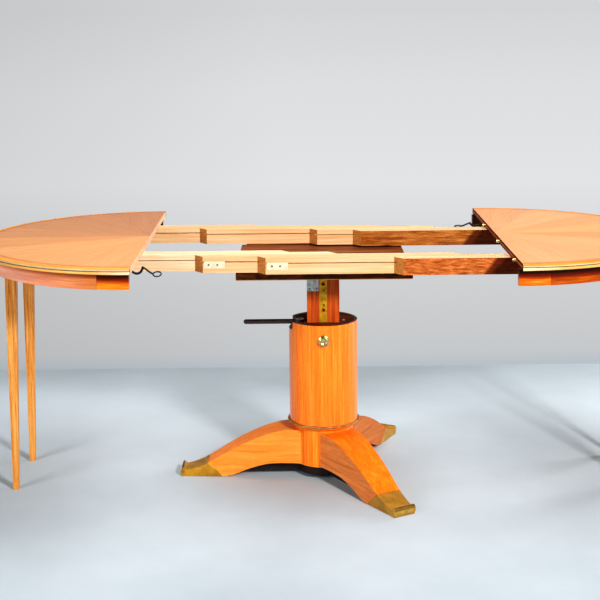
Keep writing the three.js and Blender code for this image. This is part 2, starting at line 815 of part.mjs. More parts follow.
addPart(table, 'hub', makeHub(), columnVeneer);
addPart(table, 'iron_base', makeIronBase(), blackIron);
const feet = [['left', Math.PI], ['front', -Math.PI / 3], ['back', Math.PI / 3]];
for (const [place, angle] of feet) {
  const footGroup = new THREE.Group();
  footGroup.rotation.z = angle;
  addPart(footGroup, `${place}_foot`, makeFoot(), columnVeneer);
  addPart(footGroup, `${place}_toe_cap`, makeToeCap(), brass);
  table.add(footGroup);
}
addPart(table, 'column_shell', makeColumnShell(), columnVeneer);
addPart(table, 'column_ring', makeColumnRing(), brass);
addPart(table, 'column_cap', makeColumnCap(), capWood);
addPart(table, 'post_guide', makePostGuide(), slideWood);
addPart(table, 'lever_pivot', makeLeverPivot(), blackIron);
addPart(table, 'lock_lever', makeLockLever(), blackIron);
addPart(table, 'height_knob', makeHeightKnob(), brass);
addPart(table, 'locking_plunger', makePlunger(), steel);

addPart(table, 'post', makePost(), postWood);
addPart(table, 'post_strip', makePostStrip(), brass);
addPart(table, 'mount_board', makeBoard(), boardWood);

const sides = [['front', 0], ['rear', turnedHalf]];
const fourthRailLengths = { front: frontFourthRailLength, rear: rearFourthRailLength };
for (const [place, angle] of sides) {
  const set = new THREE.Group();
  set.rotation.z = angle;
  addPart(set, `${place}_bracket`, makeBracket(), steel);
  addPart(set, `${place}_packer`, makePacker(), boardWood);
  addPart(set, `${place}_rail_1`, makeInnerRail(), place === 'rear' ? facedSlideWood : slideWood);
  addPart(set, `${place}_rail_2`, makeSecondRail(), slideWood);
  addPart(set, `${place}_rail_3`, makeFixedRail(), slideWood);
  addPart(set, `${place}_rail_4`, makeFourthRail(fourthRailLengths[place]), slideWood);
  addPart(set, `${place}_rail_5`, makeOuterRail(), place === 'front' ? facedSlideWood : slideWood);
  addPart(set, `${place}_plate_3`, plateBox(fixedRailStart, railCentre(3), 0), steel);
  addPart(set, `${place}_plate_4`, plateBox(fourthRailStart, railCentre(4), 0), steel);
  table.add(set);
}

const halves = [['left', 0, 'front', 'rear'], ['right', turnedHalf, 'rear', 'front']];
for (const [place, angle, near, far] of halves) {
  const turn = new THREE.Group();
  turn.rotation.z = angle;
  const half = new THREE.Group();
  half.position.x = -halfTravel;
  turn.add(half);
  const isRight = angle !== 0;
  const ownHook = isRight ? rightHook : leftHook;
  const otherHook = isRight ? leftHook : rightHook;
  addPart(half, `${place}_top`, makeHalfTop(isRight), topVeneer);
  addPart(half, `${place}_lipping`, makeLipping(), lippingWood);
  addPart(half, `${place}_apron`, apronRing(isRight).subtract(apronBlock(isRight, seat)), columnVeneer);
  addPart(half, `${place}_apron_block`, apronRing(isRight).intersect(apronBlock(isRight, 0)), columnVeneer);
  addPart(half, `${place}_leg_block`, makeLegBlock(), slideWood);
  addPart(half, `${place}_${near}_leg`, makeLeg(-legSpread), legWood);
  addPart(half, `${place}_${far}_leg`, makeLeg(legSpread), legWood);
  addPart(half, `${place}_hook`, makeHook(ownHook), blackIron);
  addPart(half, `${place}_hook_plate`, makeHookPlate(ownHook), blackIron);
  addPart(half, `${place}_catch`, makeCatch(otherHook), blackIron);
  if (isRight) {
    pinPlaces(true).forEach((y, i) => addPart(half, `joint_pin_${i + 1}`, makePin(y), brass));
  }
  table.add(turn);
}

export default table;
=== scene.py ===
"""Looks of the convertible pedestal table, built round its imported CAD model."""

import json
import math

import bmesh
import bpy
from mathutils import Matrix, Vector

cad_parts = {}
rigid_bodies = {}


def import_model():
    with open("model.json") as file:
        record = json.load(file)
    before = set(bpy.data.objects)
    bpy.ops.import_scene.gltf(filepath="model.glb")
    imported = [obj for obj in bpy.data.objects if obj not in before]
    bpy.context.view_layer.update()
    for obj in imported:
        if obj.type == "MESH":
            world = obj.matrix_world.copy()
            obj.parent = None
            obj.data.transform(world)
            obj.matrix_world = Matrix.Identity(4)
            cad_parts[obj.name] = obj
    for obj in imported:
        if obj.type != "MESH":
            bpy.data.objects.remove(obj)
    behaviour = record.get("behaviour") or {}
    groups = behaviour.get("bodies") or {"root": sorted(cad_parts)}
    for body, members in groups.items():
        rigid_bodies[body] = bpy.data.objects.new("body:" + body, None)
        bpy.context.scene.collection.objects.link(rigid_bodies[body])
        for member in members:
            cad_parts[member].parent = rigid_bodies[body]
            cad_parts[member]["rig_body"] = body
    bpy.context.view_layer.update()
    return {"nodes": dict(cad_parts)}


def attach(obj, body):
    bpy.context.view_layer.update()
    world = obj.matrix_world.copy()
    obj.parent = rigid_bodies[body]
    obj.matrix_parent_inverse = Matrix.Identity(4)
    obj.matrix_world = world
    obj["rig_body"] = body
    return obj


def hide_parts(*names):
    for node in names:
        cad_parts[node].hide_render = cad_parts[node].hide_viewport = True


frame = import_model()


# Camera: stands about four metres in front of the table, a little above its top, with a
# long lens and the frame shifted down, as the photograph was taken.
camera_data = bpy.data.cameras.new("camera")
camera_data.sensor_width = 36
camera_data.lens = 80.42
camera_data.shift_y = -0.1667
camera_data.clip_end = 600
CAMERA_PLACE = Vector((-0.0800, -4.03229, 1.43325))
yaw, pitch, roll = 0.00312, 0.14203, -0.00966
ahead = Vector((math.sin(yaw) * math.cos(pitch), math.cos(yaw) * math.cos(pitch), -math.sin(pitch)))
level = Vector((math.cos(yaw), -math.sin(yaw), 0))
over = level.cross(ahead)
right_hand = level * math.cos(roll) + over * math.sin(roll)
upward = over * math.cos(roll) - level * math.sin(roll)
camera = bpy.data.objects.new("camera", camera_data)
turn = Matrix((right_hand, upward, -ahead)).transposed().to_4x4()
camera.matrix_world = Matrix.Translation(CAMERA_PLACE) @ turn
bpy.context.scene.collection.objects.link(camera)
bpy.context.scene.camera = camera


# Floor and backdrop: a pale blue-grey painted floor that turns to a light grey behind the
# table, where the photograph's wall stands, so that the table is free on every side.
MM = 0.001


def linear(code):
    """An sRGB hex colour as linear red, green, blue and alpha."""
    shares = [int(code[i : i + 2], 16) / 255 for i in (1, 3, 5)]
    return [s / 12.92 if s <= 0.04045 else ((s + 0.055) / 1.055) ** 2.4 for s in shares] + [1]


def add(tree, kind, inputs=None, stops=None, **settings):
    """Adds one node: its settings, its ramp's stops, and each input's value or its link."""
    node = tree.nodes.new(kind)
    for name, value in settings.items():
        setattr(node, name, value)
    for i, (place, code) in enumerate(stops or []):
        elements = node.color_ramp.elements
        element = elements[i] if i < 2 else elements.new(place)
        element.position = place
        element.color = linear(code)
    for name, value in (inputs or {}).items():
        if isinstance(value, bpy.types.Node):
            value = value.outputs[0]
        if isinstance(value, bpy.types.NodeSocket):
            tree.links.new(value, node.inputs[name])
        else:
            node.inputs[name].default_value = value
    return node


def new_finish(name):
    """An empty material with its output node."""
    finish = bpy.data.materials.new(name)
    finish.use_nodes = True
    finish.node_tree.nodes.clear()
    return finish, finish.node_tree, add(finish.node_tree, "ShaderNodeOutputMaterial")


WALL_LINE = 1.23  # metres behind the table's middle
CAMERA_BACK = 4.03
CAMERA_HEIGHT = 1.433
FLOOR_RADIUS = 400
FLOOR_TONES = [(0.3, "#adb7bd"), (0.7, "#c1cad0")]
FLOOR_PAINTED_SHADE = [(0.27, "#e9e9e9"), (0.32, "#ffffff"), (0.38, "#ffffff"), (0.54, "#d2d2d2")]
WALL_PAINTED_LIGHT = [
    (0.0, "#c6c7c8"), (0.06, "#cfd0d1"), (0.13, "#d3d4d6"),
    (0.21, "#c2c3c4"), (0.262, "#babcbe"), (0.27, "#b0b7bd"),
]
MULTIPLIED = {"data_type": "RGBA", "blend_type": "MULTIPLY"}

# Matt floor paint: cloudy, scuffed and hardly glossy. Painted shade darkens it a little toward
# the camera and to the right, and far away it only glows with painted light, so that it stays
# pale to the horizon. Behind the wall line it glows as the wall does, with painted shade lower
# down and to the left.
floor_paint, tree, output = new_finish("floor paint")
spot = add(tree, "ShaderNodeTexCoord").outputs["Object"]
depth = add(tree, "ShaderNodeSeparateXYZ", {0: spot}).outputs["Y"]
cloud = add(tree, "ShaderNodeTexNoise", {"Vector": spot, "Scale": 1.1, "Detail": 5, "Roughness": 0.6})
tint = add(tree, "ShaderNodeValToRGB", {"Fac": cloud}, stops=FLOOR_TONES)
scuff = add(tree, "ShaderNodeTexNoise", {"Vector": spot, "Scale": 14, "Detail": 6})
rough = add(tree, "ShaderNodeMapRange", {"Value": scuff, "To Min": 0.6, "To Max": 0.85})
away = add(tree, "ShaderNodeMath", {0: depth, 1: CAMERA_BACK}, operation="ADD")
away = add(tree, "ShaderNodeMath", {0: away, 1: 0.5}, operation="MAXIMUM")
drop = add(tree, "ShaderNodeMath", {0: CAMERA_HEIGHT, 1: away}, operation="DIVIDE")
near = add(tree, "ShaderNodeValToRGB", {"Fac": drop}, stops=FLOOR_PAINTED_SHADE)
tint = add(tree, "ShaderNodeMix", {0: 1.0, 6: tint, 7: near}, **MULTIPLIED).outputs[2]
across = add(tree, "ShaderNodeSeparateXYZ", {0: spot}).outputs["X"]
shaded = add(tree, "ShaderNodeMapRange", {"Value": across, "From Min": -1.1, "From Max": 0.9})
shaded = add(tree, "ShaderNodeValToRGB", {"Fac": shaded}, stops=[(0.2, "#ffffff"), (0.5, "#efefef")])
tint = add(tree, "ShaderNodeMix", {0: 1.0, 6: tint, 7: shaded}, **MULTIPLIED).outputs[2]
painted = {"Base Color": tint, "Roughness": rough, "Specular IOR Level": 0.3}
painted = add(tree, "ShaderNodeBsdfPrincipled", painted)
wall = add(tree, "ShaderNodeValToRGB", {"Fac": drop}, stops=WALL_PAINTED_LIGHT)
sideways = add(tree, "ShaderNodeMath", {0: across, 1: away}, operation="DIVIDE")
sideways = add(tree, "ShaderNodeMapRange", {"Value": sideways, "From Min": -0.24, "From Max": 0.2})
painted_wall_shade = add(tree, "ShaderNodeValToRGB", {"Fac": sideways}, stops=[(0.0, "#f0f0f0"), (0.5, "#ffffff")])
wall = add(tree, "ShaderNodeMix", {0: 1.0, 6: wall, 7: painted_wall_shade}, **MULTIPLIED).outputs[2]
lit = add(tree, "ShaderNodeEmission", {"Color": wall, "Strength": 1.0})
reach = add(tree, "ShaderNodeVectorMath", {0: spot}, operation="LENGTH").outputs["Value"]
reach = add(tree, "ShaderNodeMapRange", {"Value": reach, "From Min": 2.6, "From Max": 6.0})
painted_far_glow = add(tree, "ShaderNodeEmission", {"Color": linear("#bdc4ca"), "Strength": 1.0})
painted = add(tree, "ShaderNodeMixShader", {0: reach, 1: painted.outputs[0], 2: painted_far_glow.outputs[0]})
seam = {"Value": depth, "From Min": WALL_LINE - 0.01, "From Max": WALL_LINE + 0.01}
behind = add(tree, "ShaderNodeMapRange", seam)
ground = add(tree, "ShaderNodeMixShader", {0: behind, 1: painted.outputs[0], 2: lit.outputs[0]})
tree.links.new(ground.outputs[0], output.inputs["Surface"])

work = bmesh.new()
bmesh.ops.create_circle(work, cap_ends=True, segments=96, radius=FLOOR_RADIUS)
floor_mesh = bpy.data.meshes.new("floor")
work.to_mesh(floor_mesh)
work.free()
floor_mesh.materials.append(floor_paint)
floor = bpy.data.objects.new("floor", floor_mesh)
bpy.context.scene.collection.objects.link(floor)


# Light: a small hard softbox at the front on the right, a large weak one on the left, one
# behind on the right that rims the column and the legs, a broad one overhead, and an even
# pale room round them.
def softbox(name, place, aim, size, power):
    """A rectangular lamp at a place, turned to its aim. Sizes are in metres, power in watts."""
    data = bpy.data.lights.new(name, "AREA")
    data.shape = "RECTANGLE"
    data.size, data.size_y = size
    data.energy = power
    lamp = bpy.data.objects.new(name, data)
    direction = Vector(aim) - Vector(place)
    lamp.matrix_world = Matrix.Translation(place) @ direction.to_track_quat("-Z", "Y").to_matrix().to_4x4()
    bpy.context.scene.collection.objects.link(lamp)


softbox("right_softbox", (1.9, -3.7, 2.45), (0.1, 0, 0.5), (0.55, 0.55), 205)
softbox("left_softbox", (-2.9, -2.6, 1.5), (-0.3, 0, 0.4), (1.2, 1.2), 60)
softbox("rim_softbox", (2.7, 1.1, 0.9), (0, 0, 0.4), (0.8, 1.2), 45)
softbox("top_softbox", (0.3, 0.2, 3.4), (0, 0, 0), (2.6, 1.6), 95)
world = bpy.data.worlds.new("room")
world.use_nodes = True
tree = world.node_tree
spot = add(tree, "ShaderNodeTexCoord").outputs["Generated"]
heading = add(tree, "ShaderNodeSeparateXYZ", {0: spot}).outputs
glow = {"Value": heading["Y"], "From Min": -0.3, "From Max": 0.6, "To Min": 0.15, "To Max": 0.4}
glow = add(tree, "ShaderNodeMapRange", glow)
seen = add(tree, "ShaderNodeLightPath").outputs["Is Camera Ray"]
glow = add(tree, "ShaderNodeMix", {0: seen, 2: glow, 3: 0.79}, data_type="FLOAT")
tree.links.new(glow.outputs[0], tree.nodes["Background"].inputs["Strength"])
sideways = add(tree, "ShaderNodeMapRange", {"Value": heading["X"], "From Min": -0.24, "From Max": 0.2})
pale = add(tree, "ShaderNodeValToRGB", {"Fac": sideways}, stops=[(0.0, "#cfd0d2"), (0.5, "#dcdddf")])
tree.links.new(pale.outputs[0], tree.nodes["Background"].inputs["Color"])
bpy.context.scene.world = world
bpy.context.scene.view_settings.view_transform = "Standard"
bpy.context.scene.view_settings.look = "Medium High Contrast"


# Iron base: a blackened cast plate under the hub with an arm under each foot. Its skin is
# slightly pitted from the sand it was cast in, and dull.
MERGE_GAP = 0.005 * MM
SHARP_ANGLE = 32  # degrees


def finished(name, work, finishes, slot, body, *replaced, smooth=35):
    """Turns a bmesh into a piece of the table that rides on a body and stands for CAD nodes."""
    mesh = bpy.data.meshes.new(name)
    work.to_mesh(mesh)
    work.free()
    if "custom_normal" in mesh.attributes:
        mesh.attributes.remove(mesh.attributes["custom_normal"])
    for finish in finishes:
        mesh.materials.append(finish)
    mesh.shade_smooth()
    mesh.set_sharp_from_angle(angle=math.radians(smooth))
    piece = bpy.data.objects.new(name, mesh)
    bpy.context.scene.collection.objects.link(piece)
    shading = piece.modifiers.new("even shading", "WEIGHTED_NORMAL")
    shading.keep_sharp = True
    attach(piece, body)
    if replaced:
        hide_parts(*replaced)
    return piece


def eased(node, finishes, slot, edge=1.0, segments=2, face_finish=None, dressing=None):
    """A CAD node's shape with its sharp edges eased by edge millimetres, so that they catch the
    light. Dressing adds to the shape afterwards."""
    work = bmesh.new()
    work.from_mesh(frame["nodes"][node].data)
    bmesh.ops.remove_doubles(work, verts=work.verts, dist=MERGE_GAP)
    bmesh.ops.dissolve_limit(work, angle_limit=math.radians(0.5), verts=work.verts, edges=work.edges)
    for face in work.faces:
        face.material_index = face_finish(face) if face_finish else 0
    sharp = [e for e in work.edges if e.is_manifold and e.calc_face_angle() > math.radians(SHARP_ANGLE)]
    bmesh.ops.bevel(
        work, geom=sharp, offset=edge * MM, offset_type="OFFSET", segments=segments,
        profile=0.5, affect="EDGES", clamp_overlap=True, material=-1,
    )
    if dressing:
        dressing(work)
    body = frame["nodes"][node]["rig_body"]
    return finished(f"{node}_eased", work, finishes, slot, body, node)


# Blackened iron: nearly black and pitted, with a broad dull highlight.
black_iron, tree, output = new_finish("blackened cast iron")
spot = add(tree, "ShaderNodeTexCoord").outputs["Object"]
pits = add(tree, "ShaderNodeTexNoise", {"Vector": spot, "Scale": 420, "Detail": 4})
stain = add(tree, "ShaderNodeTexNoise", {"Vector": spot, "Scale": 30, "Detail": 5})
shade = add(tree, "ShaderNodeValToRGB", {"Fac": stain}, stops=[(0.35, "#120c0a"), (0.65, "#241712")])
rough = add(tree, "ShaderNodeMapRange", {"Value": stain, "To Min": 0.4, "To Max": 0.65})
relief = add(tree, "ShaderNodeBump", {"Height": pits, "Strength": 0.35, "Distance": 0.3 * MM})
skin = {"Base Color": shade, "Roughness": rough, "Metallic": 0.4, "Normal": relief}
skin = add(tree, "ShaderNodeBsdfPrincipled", skin)
tree.links.new(skin.outputs[0], output.inputs["Surface"])
eased("iron_base", [black_iron], "black_iron", edge=1.5)


# Hub: one turned block of wood, veneered with its grain upright, that the three feet are
# fixed round. Orange-brown under a hard clear lacquer.
FIBRE_SHARE = 0.38  # how much of the tone is fibre, beside the broader figure
PORE_SIZE = (14, 0.9)  # drawn coarser than real pores, so that they show
PORE_STAIN = "#6b3a1c"
WARM_SHEEN = "#ffb070"


def wood(
    name, tones, figure, fibre, place=None, turn=0.0, tilt=0.0, gloss=0.32, coat=0.1, relief=0.25,
    pores=0.0, cast=None, specular=0.35,
):
    """Wood. Figure and fibre are (length along the grain, width) in millimetres, and the grain
    runs along the place's X, or else along the table's X turned about Z, or Z with tilt. Pores
    is how dark its pores are, and cast is a tree's function that tints it by place."""
    finish, tree, output = new_finish(name)
    if place:
        spot = place(tree)
    else:
        spot = add(tree, "ShaderNodeTexCoord").outputs["Object"]
        angles = (0, math.radians(tilt), math.radians(turn))
        spot = add(tree, "ShaderNodeMapping", {"Vector": spot, "Rotation": angles})
    layers = []
    for length, width, detail, warp in ((*figure, 3, 0.6), (*fibre, 6, 0.2)):
        scale = (1 / (length * MM), 1 / (width * MM), 1 / (width * MM))
        stretched = add(tree, "ShaderNodeMapping", {"Vector": spot, "Scale": scale})
        noise = {"Vector": stretched, "Scale": 1.0, "Detail": detail, "Roughness": 0.6, "Distortion": warp}
        layers.append(add(tree, "ShaderNodeTexNoise", noise))
    blend = add(tree, "ShaderNodeMath", {0: layers[1], 1: FIBRE_SHARE}, operation="MULTIPLY")
    inputs = {0: layers[0], 1: 1 - FIBRE_SHARE, 2: blend}
    blend = add(tree, "ShaderNodeMath", inputs, operation="MULTIPLY_ADD")
    colour = add(tree, "ShaderNodeValToRGB", {"Fac": blend}, stops=tones)
    if pores:
        length, width = PORE_SIZE
        scale = (1 / (length * MM), 1 / (width * MM), 1 / (width * MM))
        stretched = add(tree, "ShaderNodeMapping", {"Vector": spot, "Scale": scale})
        noise = add(tree, "ShaderNodeTexNoise", {"Vector": stretched, "Scale": 1.0, "Detail": 2})
        dark = {"Value": noise, "From Min": 0.6, "From Max": 0.72, "To Max": pores}
        dark = add(tree, "ShaderNodeMapRange", dark)
        inputs = {0: dark, 6: colour, 7: linear(PORE_STAIN)}
        colour = add(tree, "ShaderNodeMix", inputs, **MULTIPLIED).outputs[2]
    if cast:
        colour = add(tree, "ShaderNodeMix", {0: 1.0, 6: colour, 7: cast(tree)}, **MULTIPLIED).outputs[2]
    shine = {"Value": layers[1], "To Min": gloss - 0.07, "To Max": gloss + 0.1}
    shine = add(tree, "ShaderNodeMapRange", shine)
    bump = add(tree, "ShaderNodeBump", {"Height": layers[1], "Strength": relief, "Distance": 0.15 * MM})
    surface = {"Base Color": colour, "Roughness": shine, "Normal": bump}
    surface.update({"Coat Weight": coat, "Coat Roughness": 0.08})
    surface.update({"Specular IOR Level": specular, "Specular Tint": linear(WARM_SHEEN)})
    surface = add(tree, "ShaderNodeBsdfPrincipled", surface)
    tree.links.new(surface.outputs[0], output.inputs["Surface"])
    return finish


ORANGE_VENEER = [(0.3, "#c45510"), (0.44, "#f07619"), (0.55, "#fb8623"), (0.7, "#ffa23e")]
# Lacquered veneer: clear and glossy, with dark upright pores.
hub_veneer = wood("upright orange veneer", ORANGE_VENEER, (260, 7), (60, 1.1), tilt=90, pores=0.35)
eased("hub", [hub_veneer], "column_veneer", edge=1.2)


# Feet: three sabre feet sawn from solid wood with the grain along them and rounded a little
# at the edges. Their lacquer is worn thinner than the hub's.
FEET = {"left": 180, "front": -60, "back": 60}
DEEP_ORANGE = [(0.3, "#bc4c08"), (0.44, "#e86c10"), (0.55, "#f47c1a"), (0.7, "#fc9834")]
LIT_ORANGE = [(0.3, "#d2680e"), (0.44, "#f68422"), (0.55, "#fe9232"), (0.7, "#ffa84e")]
LIT_SIDE_ORANGE = [(0.3, "#c8661c"), (0.44, "#ee8630"), (0.55, "#f8943c"), (0.7, "#ffaa54")]
HALF_SHADED_ORANGE = [(0.3, "#b4602a"), (0.44, "#d87c3e"), (0.55, "#e68a48"), (0.7, "#f2a05c")]
SHADED_ORANGE = [(0.3, "#8e4818"), (0.44, "#ac5e26"), (0.55, "#ba6a2e"), (0.7, "#ca7e40")]
# Worn lacquer: a weak sheen. The tops are painted brighter than the sides, the left foot's
# most, and each foot's sides are painted with the light that falls on them: paler on the left
# foot, browner on the front one and darkest on the back one.
for foot, angle in FEET.items():
    sides = {"left": LIT_SIDE_ORANGE, "front": HALF_SHADED_ORANGE, "back": SHADED_ORANGE}[foot]
    settings = {"turn": -angle, "pores": 0.3, "coat": 0.03, "specular": 0.12}
    tops = LIT_ORANGE if foot == "left" else DEEP_ORANGE
    lit_top_wood = wood(f"foot top {foot}", tops, (240, 14), (70, 1.2), **settings)
    side_light_wood = wood(f"foot side {foot}", sides, (240, 14), (70, 1.2), **settings)
    eased(
        f"{foot}_foot", [side_light_wood, lit_top_wood], "column_veneer", edge=2.2, segments=3,
        face_finish=lambda face: 1 if face.normal.z > 0.35 else 0,
    )


# Toe caps: cast brass shoes that slide over a tenon on each foot. Each ends in a rolled lip,
# rubbed bright, with the metal behind it painted dark for the dark that it reflects there.
def aged_metal(name, tones, roughness, scale_mm=18, brushed=None, wear=0.5, metallic=1.0):
    """Metal whose tarnish comes in soft clouds scale_mm wide, with fine scratches. Brushed is the
    scratches' size along each axis in millimetres. Metallic falls as tarnish covers the metal."""
    finish, tree, output = new_finish(name)
    spot = add(tree, "ShaderNodeTexCoord").outputs["Object"]
    cloud = {"Vector": spot, "Scale": 1 / (scale_mm * MM), "Detail": 5, "Roughness": 0.65}
    cloud = add(tree, "ShaderNodeTexNoise", cloud)
    colour = add(tree, "ShaderNodeValToRGB", {"Fac": cloud}, stops=tones)
    low, high = roughness
    rough = {"Value": cloud, "From Min": 0.3, "From Max": 0.7, "To Min": high, "To Max": low}
    rough = add(tree, "ShaderNodeMapRange", rough)
    streak = brushed or (2, 2, 2)
    scratch = add(tree, "ShaderNodeMapping", {"Vector": spot, "Scale": tuple(1 / (s * MM) for s in streak)})
    scratch = add(tree, "ShaderNodeTexNoise", {"Vector": scratch, "Scale": 1.0, "Detail": 4})
    bump = add(tree, "ShaderNodeBump", {"Height": scratch, "Strength": wear, "Distance": 0.05 * MM})
    surface = {"Base Color": colour, "Roughness": rough, "Metallic": metallic, "Normal": bump}
    surface = add(tree, "ShaderNodeBsdfPrincipled", surface)
    tree.links.new(surface.outputs[0], output.inputs["Surface"])
    return finish


# Cast brass: mustard where it is aged, yellower on the left toe where it has been scoured,
# painted brown behind the lip for a dark reflection, and shiny where shoes rub it.
cast_brass = aged_metal(
    "aged cast brass", [(0.3, "#855914"), (0.5, "#ae7b22"), (0.7, "#cc9734")], (0.3, 0.45), 60,
    metallic=0.55,
)
bright_brass = aged_metal(
    "scoured cast brass", [(0.3, "#966412"), (0.5, "#c68c20"), (0.7, "#e2aa34")], (0.3, 0.45),
    60, metallic=0.55,
)
painted_dark_reflection = aged_metal(
    "brass painted dark behind lip", [(0.3, "#4a2e0c"), (0.5, "#6e4a18"), (0.7, "#8e6628")], (0.4, 0.55), 20,
    metallic=0.5,
)
rubbed_brass = aged_metal(
    "rubbed brass", [(0.3, "#b07c24"), (0.5, "#d09c3a"), (0.7, "#f0c870")], (0.16, 0.28), 16,
    metallic=0.85,
)


TOE_LIP_REACH = 439
TOE_LIP_HEIGHT = 14.5
TOE_LIP_SIZE = (6, 11.2, 71.5)  # half thickness, half height and width
DARK_REFLECTION_REACH = 433
DARK_REFLECTION_HEIGHT = 19


def toe_lip(angle):
    """A toe's two finishes, painted dark behind its lip for a reflection, and the lip's rolled front."""
    ahead_of_foot = Matrix.Rotation(math.radians(angle), 4, "Z")

    def chooser(face):
        middle = ahead_of_foot.inverted() @ face.calc_center_median() / MM
        return 1 if middle.x > DARK_REFLECTION_REACH and middle.z > DARK_REFLECTION_HEIGHT and face.normal.z > 0.1 else 0

    def roll(work):
        size = Matrix.Diagonal((*[side * MM for side in TOE_LIP_SIZE], 1))
        lip = Matrix.Translation(Vector((TOE_LIP_REACH, 0, TOE_LIP_HEIGHT)) * MM)
        place = ahead_of_foot @ lip @ Matrix.Rotation(math.radians(90), 4, "X") @ size
        disc = {"cap_ends": True, "segments": 36, "radius1": 1, "radius2": 1, "depth": 1}
        ends = bmesh.ops.create_cone(work, matrix=place, **disc)
        for face in {face for vert in ends["verts"] for face in vert.link_faces}:
            face.material_index = 2

    return {"face_finish": chooser, "dressing": roll}


for foot, angle in FEET.items():
    body_brass = bright_brass if foot == "left" else cast_brass
    finishes = [body_brass, painted_dark_reflection, rubbed_brass]
    eased(f"{foot}_toe_cap", finishes, "brass", edge=1.2, segments=3, **toe_lip(angle))


# Ring: a half-round brass wire bent round the foot of the column, where it covers the joint
# with the hub.
def spun(work, outline, centre, degrees, steps):
    """Spins an outline about the upright through the centre, and merges what then meets."""
    bmesh.ops.spin(
        work, geom=outline, cent=centre, axis=(0, 0, 1), angle=math.radians(degrees),
        steps=steps, use_merge=degrees == 360, use_duplicate=False,
    )
    bmesh.ops.remove_doubles(work, verts=work.verts, dist=MERGE_GAP)
    bmesh.ops.recalc_face_normals(work, faces=work.faces)


def turned(name, profile, finishes, slot, body, *replaced, centre=(0, 0, 0), axis="Z", steps=96):
    """A closed profile of (radius, height) in millimetres, turned on an axis at the centre."""
    work = bmesh.new()
    ring = [work.verts.new((r * MM, 0, z * MM)) for r, z in profile]
    edges = [work.edges.new(pair) for pair in zip(ring, ring[1:] + ring[:1])]
    spun(work, ring + edges, (0, 0, 0), 360, steps)
    turns = {"Z": Matrix(), "-Y": Matrix.Rotation(math.radians(90), 4, "X")}
    work.transform(Matrix.Translation(Vector(centre) * MM) @ turns[axis])
    return finished(name, work, finishes, slot, body, *replaced)


# Dulled brass: browner in soft clouds, with a blurred highlight along the wire.
ring_brass = aged_metal(
    "dulled brass wire", [(0.3, "#7a5424"), (0.5, "#b08040"), (0.7, "#d8ac6c")], (0.3, 0.5),
    25, metallic=0.6,
)
RING_INSIDE = 105.3
RING_EDGE = 108.5
RING_HEIGHT = 173
RING_HALF = (3.2, 3)  # how far the round swells outward, and half its height
swell, rise = RING_HALF
angles = [math.radians(15 * i) for i in range(13)]
half_round = [(RING_EDGE + swell * math.sin(a), RING_HEIGHT - rise * math.cos(a)) for a in angles]
ring_profile = [(RING_INSIDE, RING_HEIGHT - rise), *half_round, (RING_INSIDE, RING_HEIGHT + rise)]
turned("column_ring_wire", ring_profile, [ring_brass], "brass", "pedestal", "column_ring", steps=128)


# Column: a hollow drum, veneered on the outside with the grain upright, with a notch in its
# rim for the lever.
# Lacquered veneer: as orange as the hub's and glossier, with a soft upright highlight.
column_veneer = wood(
    "column veneer", ORANGE_VENEER, (300, 10), (70, 1.2), tilt=90, pores=0.55, coat=0.35,
)
# Bare wood inside: dull and brown. The rim's stain is darker.
BARE = {"gloss": 0.6, "coat": 0.0}
LINING = [(0.35, "#6e4a2c"), (0.65, "#8f6641")]
raw_lining = wood("raw column lining", LINING, (200, 9), (50, 1.4), tilt=90, **BARE)
rim_wood = wood("dark rim", [(0.35, "#2c130d"), (0.65, "#4a2419")], (60, 6), (30, 1), gloss=0.4)


def column_face(face):
    """Veneer outside, raw wood inside, and stain on the rim."""
    outward = face.normal.dot(face.calc_center_median().xy.to_3d().normalized())
    if face.normal.z > 0.9:
        return 2
    return 0 if outward > -0.2 else 1


column_finishes = [column_veneer, raw_lining, rim_wood]
eased("column_shell", column_finishes, "column_veneer", edge=0.8, face_finish=column_face)


# Cap and guide: a dark stained disc that closes the column round the post, and the square
# tube inside it that the post runs in.
# Stained wood without lacquer: dark, and dull enough to show no glint.
cap_stain = wood(
    "dark stained cap", [(0.3, "#30160e"), (0.5, "#5e3222"), (0.7, "#864e36")], (90, 7),
    (40, 1.2), gloss=0.42, coat=0.0, specular=0.0,
)
eased("column_cap", [cap_stain], "cap_wood", edge=0.8)
# Bare guide wood: pale and dull.
GUIDE = [(0.35, "#b98c58"), (0.65, "#dcb681")]
guide_wood = wood("raw guide wood", GUIDE, (200, 9), (50, 1.4), tilt=90, **BARE)
eased("post_guide", [guide_wood], "slide_wood", edge=0.6)


# Lever and its pivot: a round steel rod with a hemispherical end, dipped in dark paint, that
# turns on a stud on a small iron shelf.
# Enamel: nearly black, smooth and glossy, and worn a little duller in patches.
lever_paint, tree, output = new_finish("dark brown enamel")
spot = add(tree, "ShaderNodeTexCoord").outputs["Object"]
mottle = add(tree, "ShaderNodeTexNoise", {"Vector": spot, "Scale": 90, "Detail": 4})
shade = add(tree, "ShaderNodeValToRGB", {"Fac": mottle}, stops=[(0.35, "#0f0807"), (0.65, "#20120e")])
rough = add(tree, "ShaderNodeMapRange", {"Value": mottle, "To Min": 0.22, "To Max": 0.4})
relief = add(tree, "ShaderNodeBump", {"Height": mottle, "Strength": 0.15, "Distance": 0.1 * MM})
paint = {"Base Color": shade, "Roughness": rough, "Normal": relief}
paint.update({"Coat Weight": 0.4, "Coat Roughness": 0.12})
paint = add(tree, "ShaderNodeBsdfPrincipled", paint)
tree.links.new(paint.outputs[0], output.inputs["Surface"])
eased("lock_lever", [lever_paint], "black_iron", edge=0.8)
eased("lever_pivot", [black_iron], "black_iron", edge=0.6)


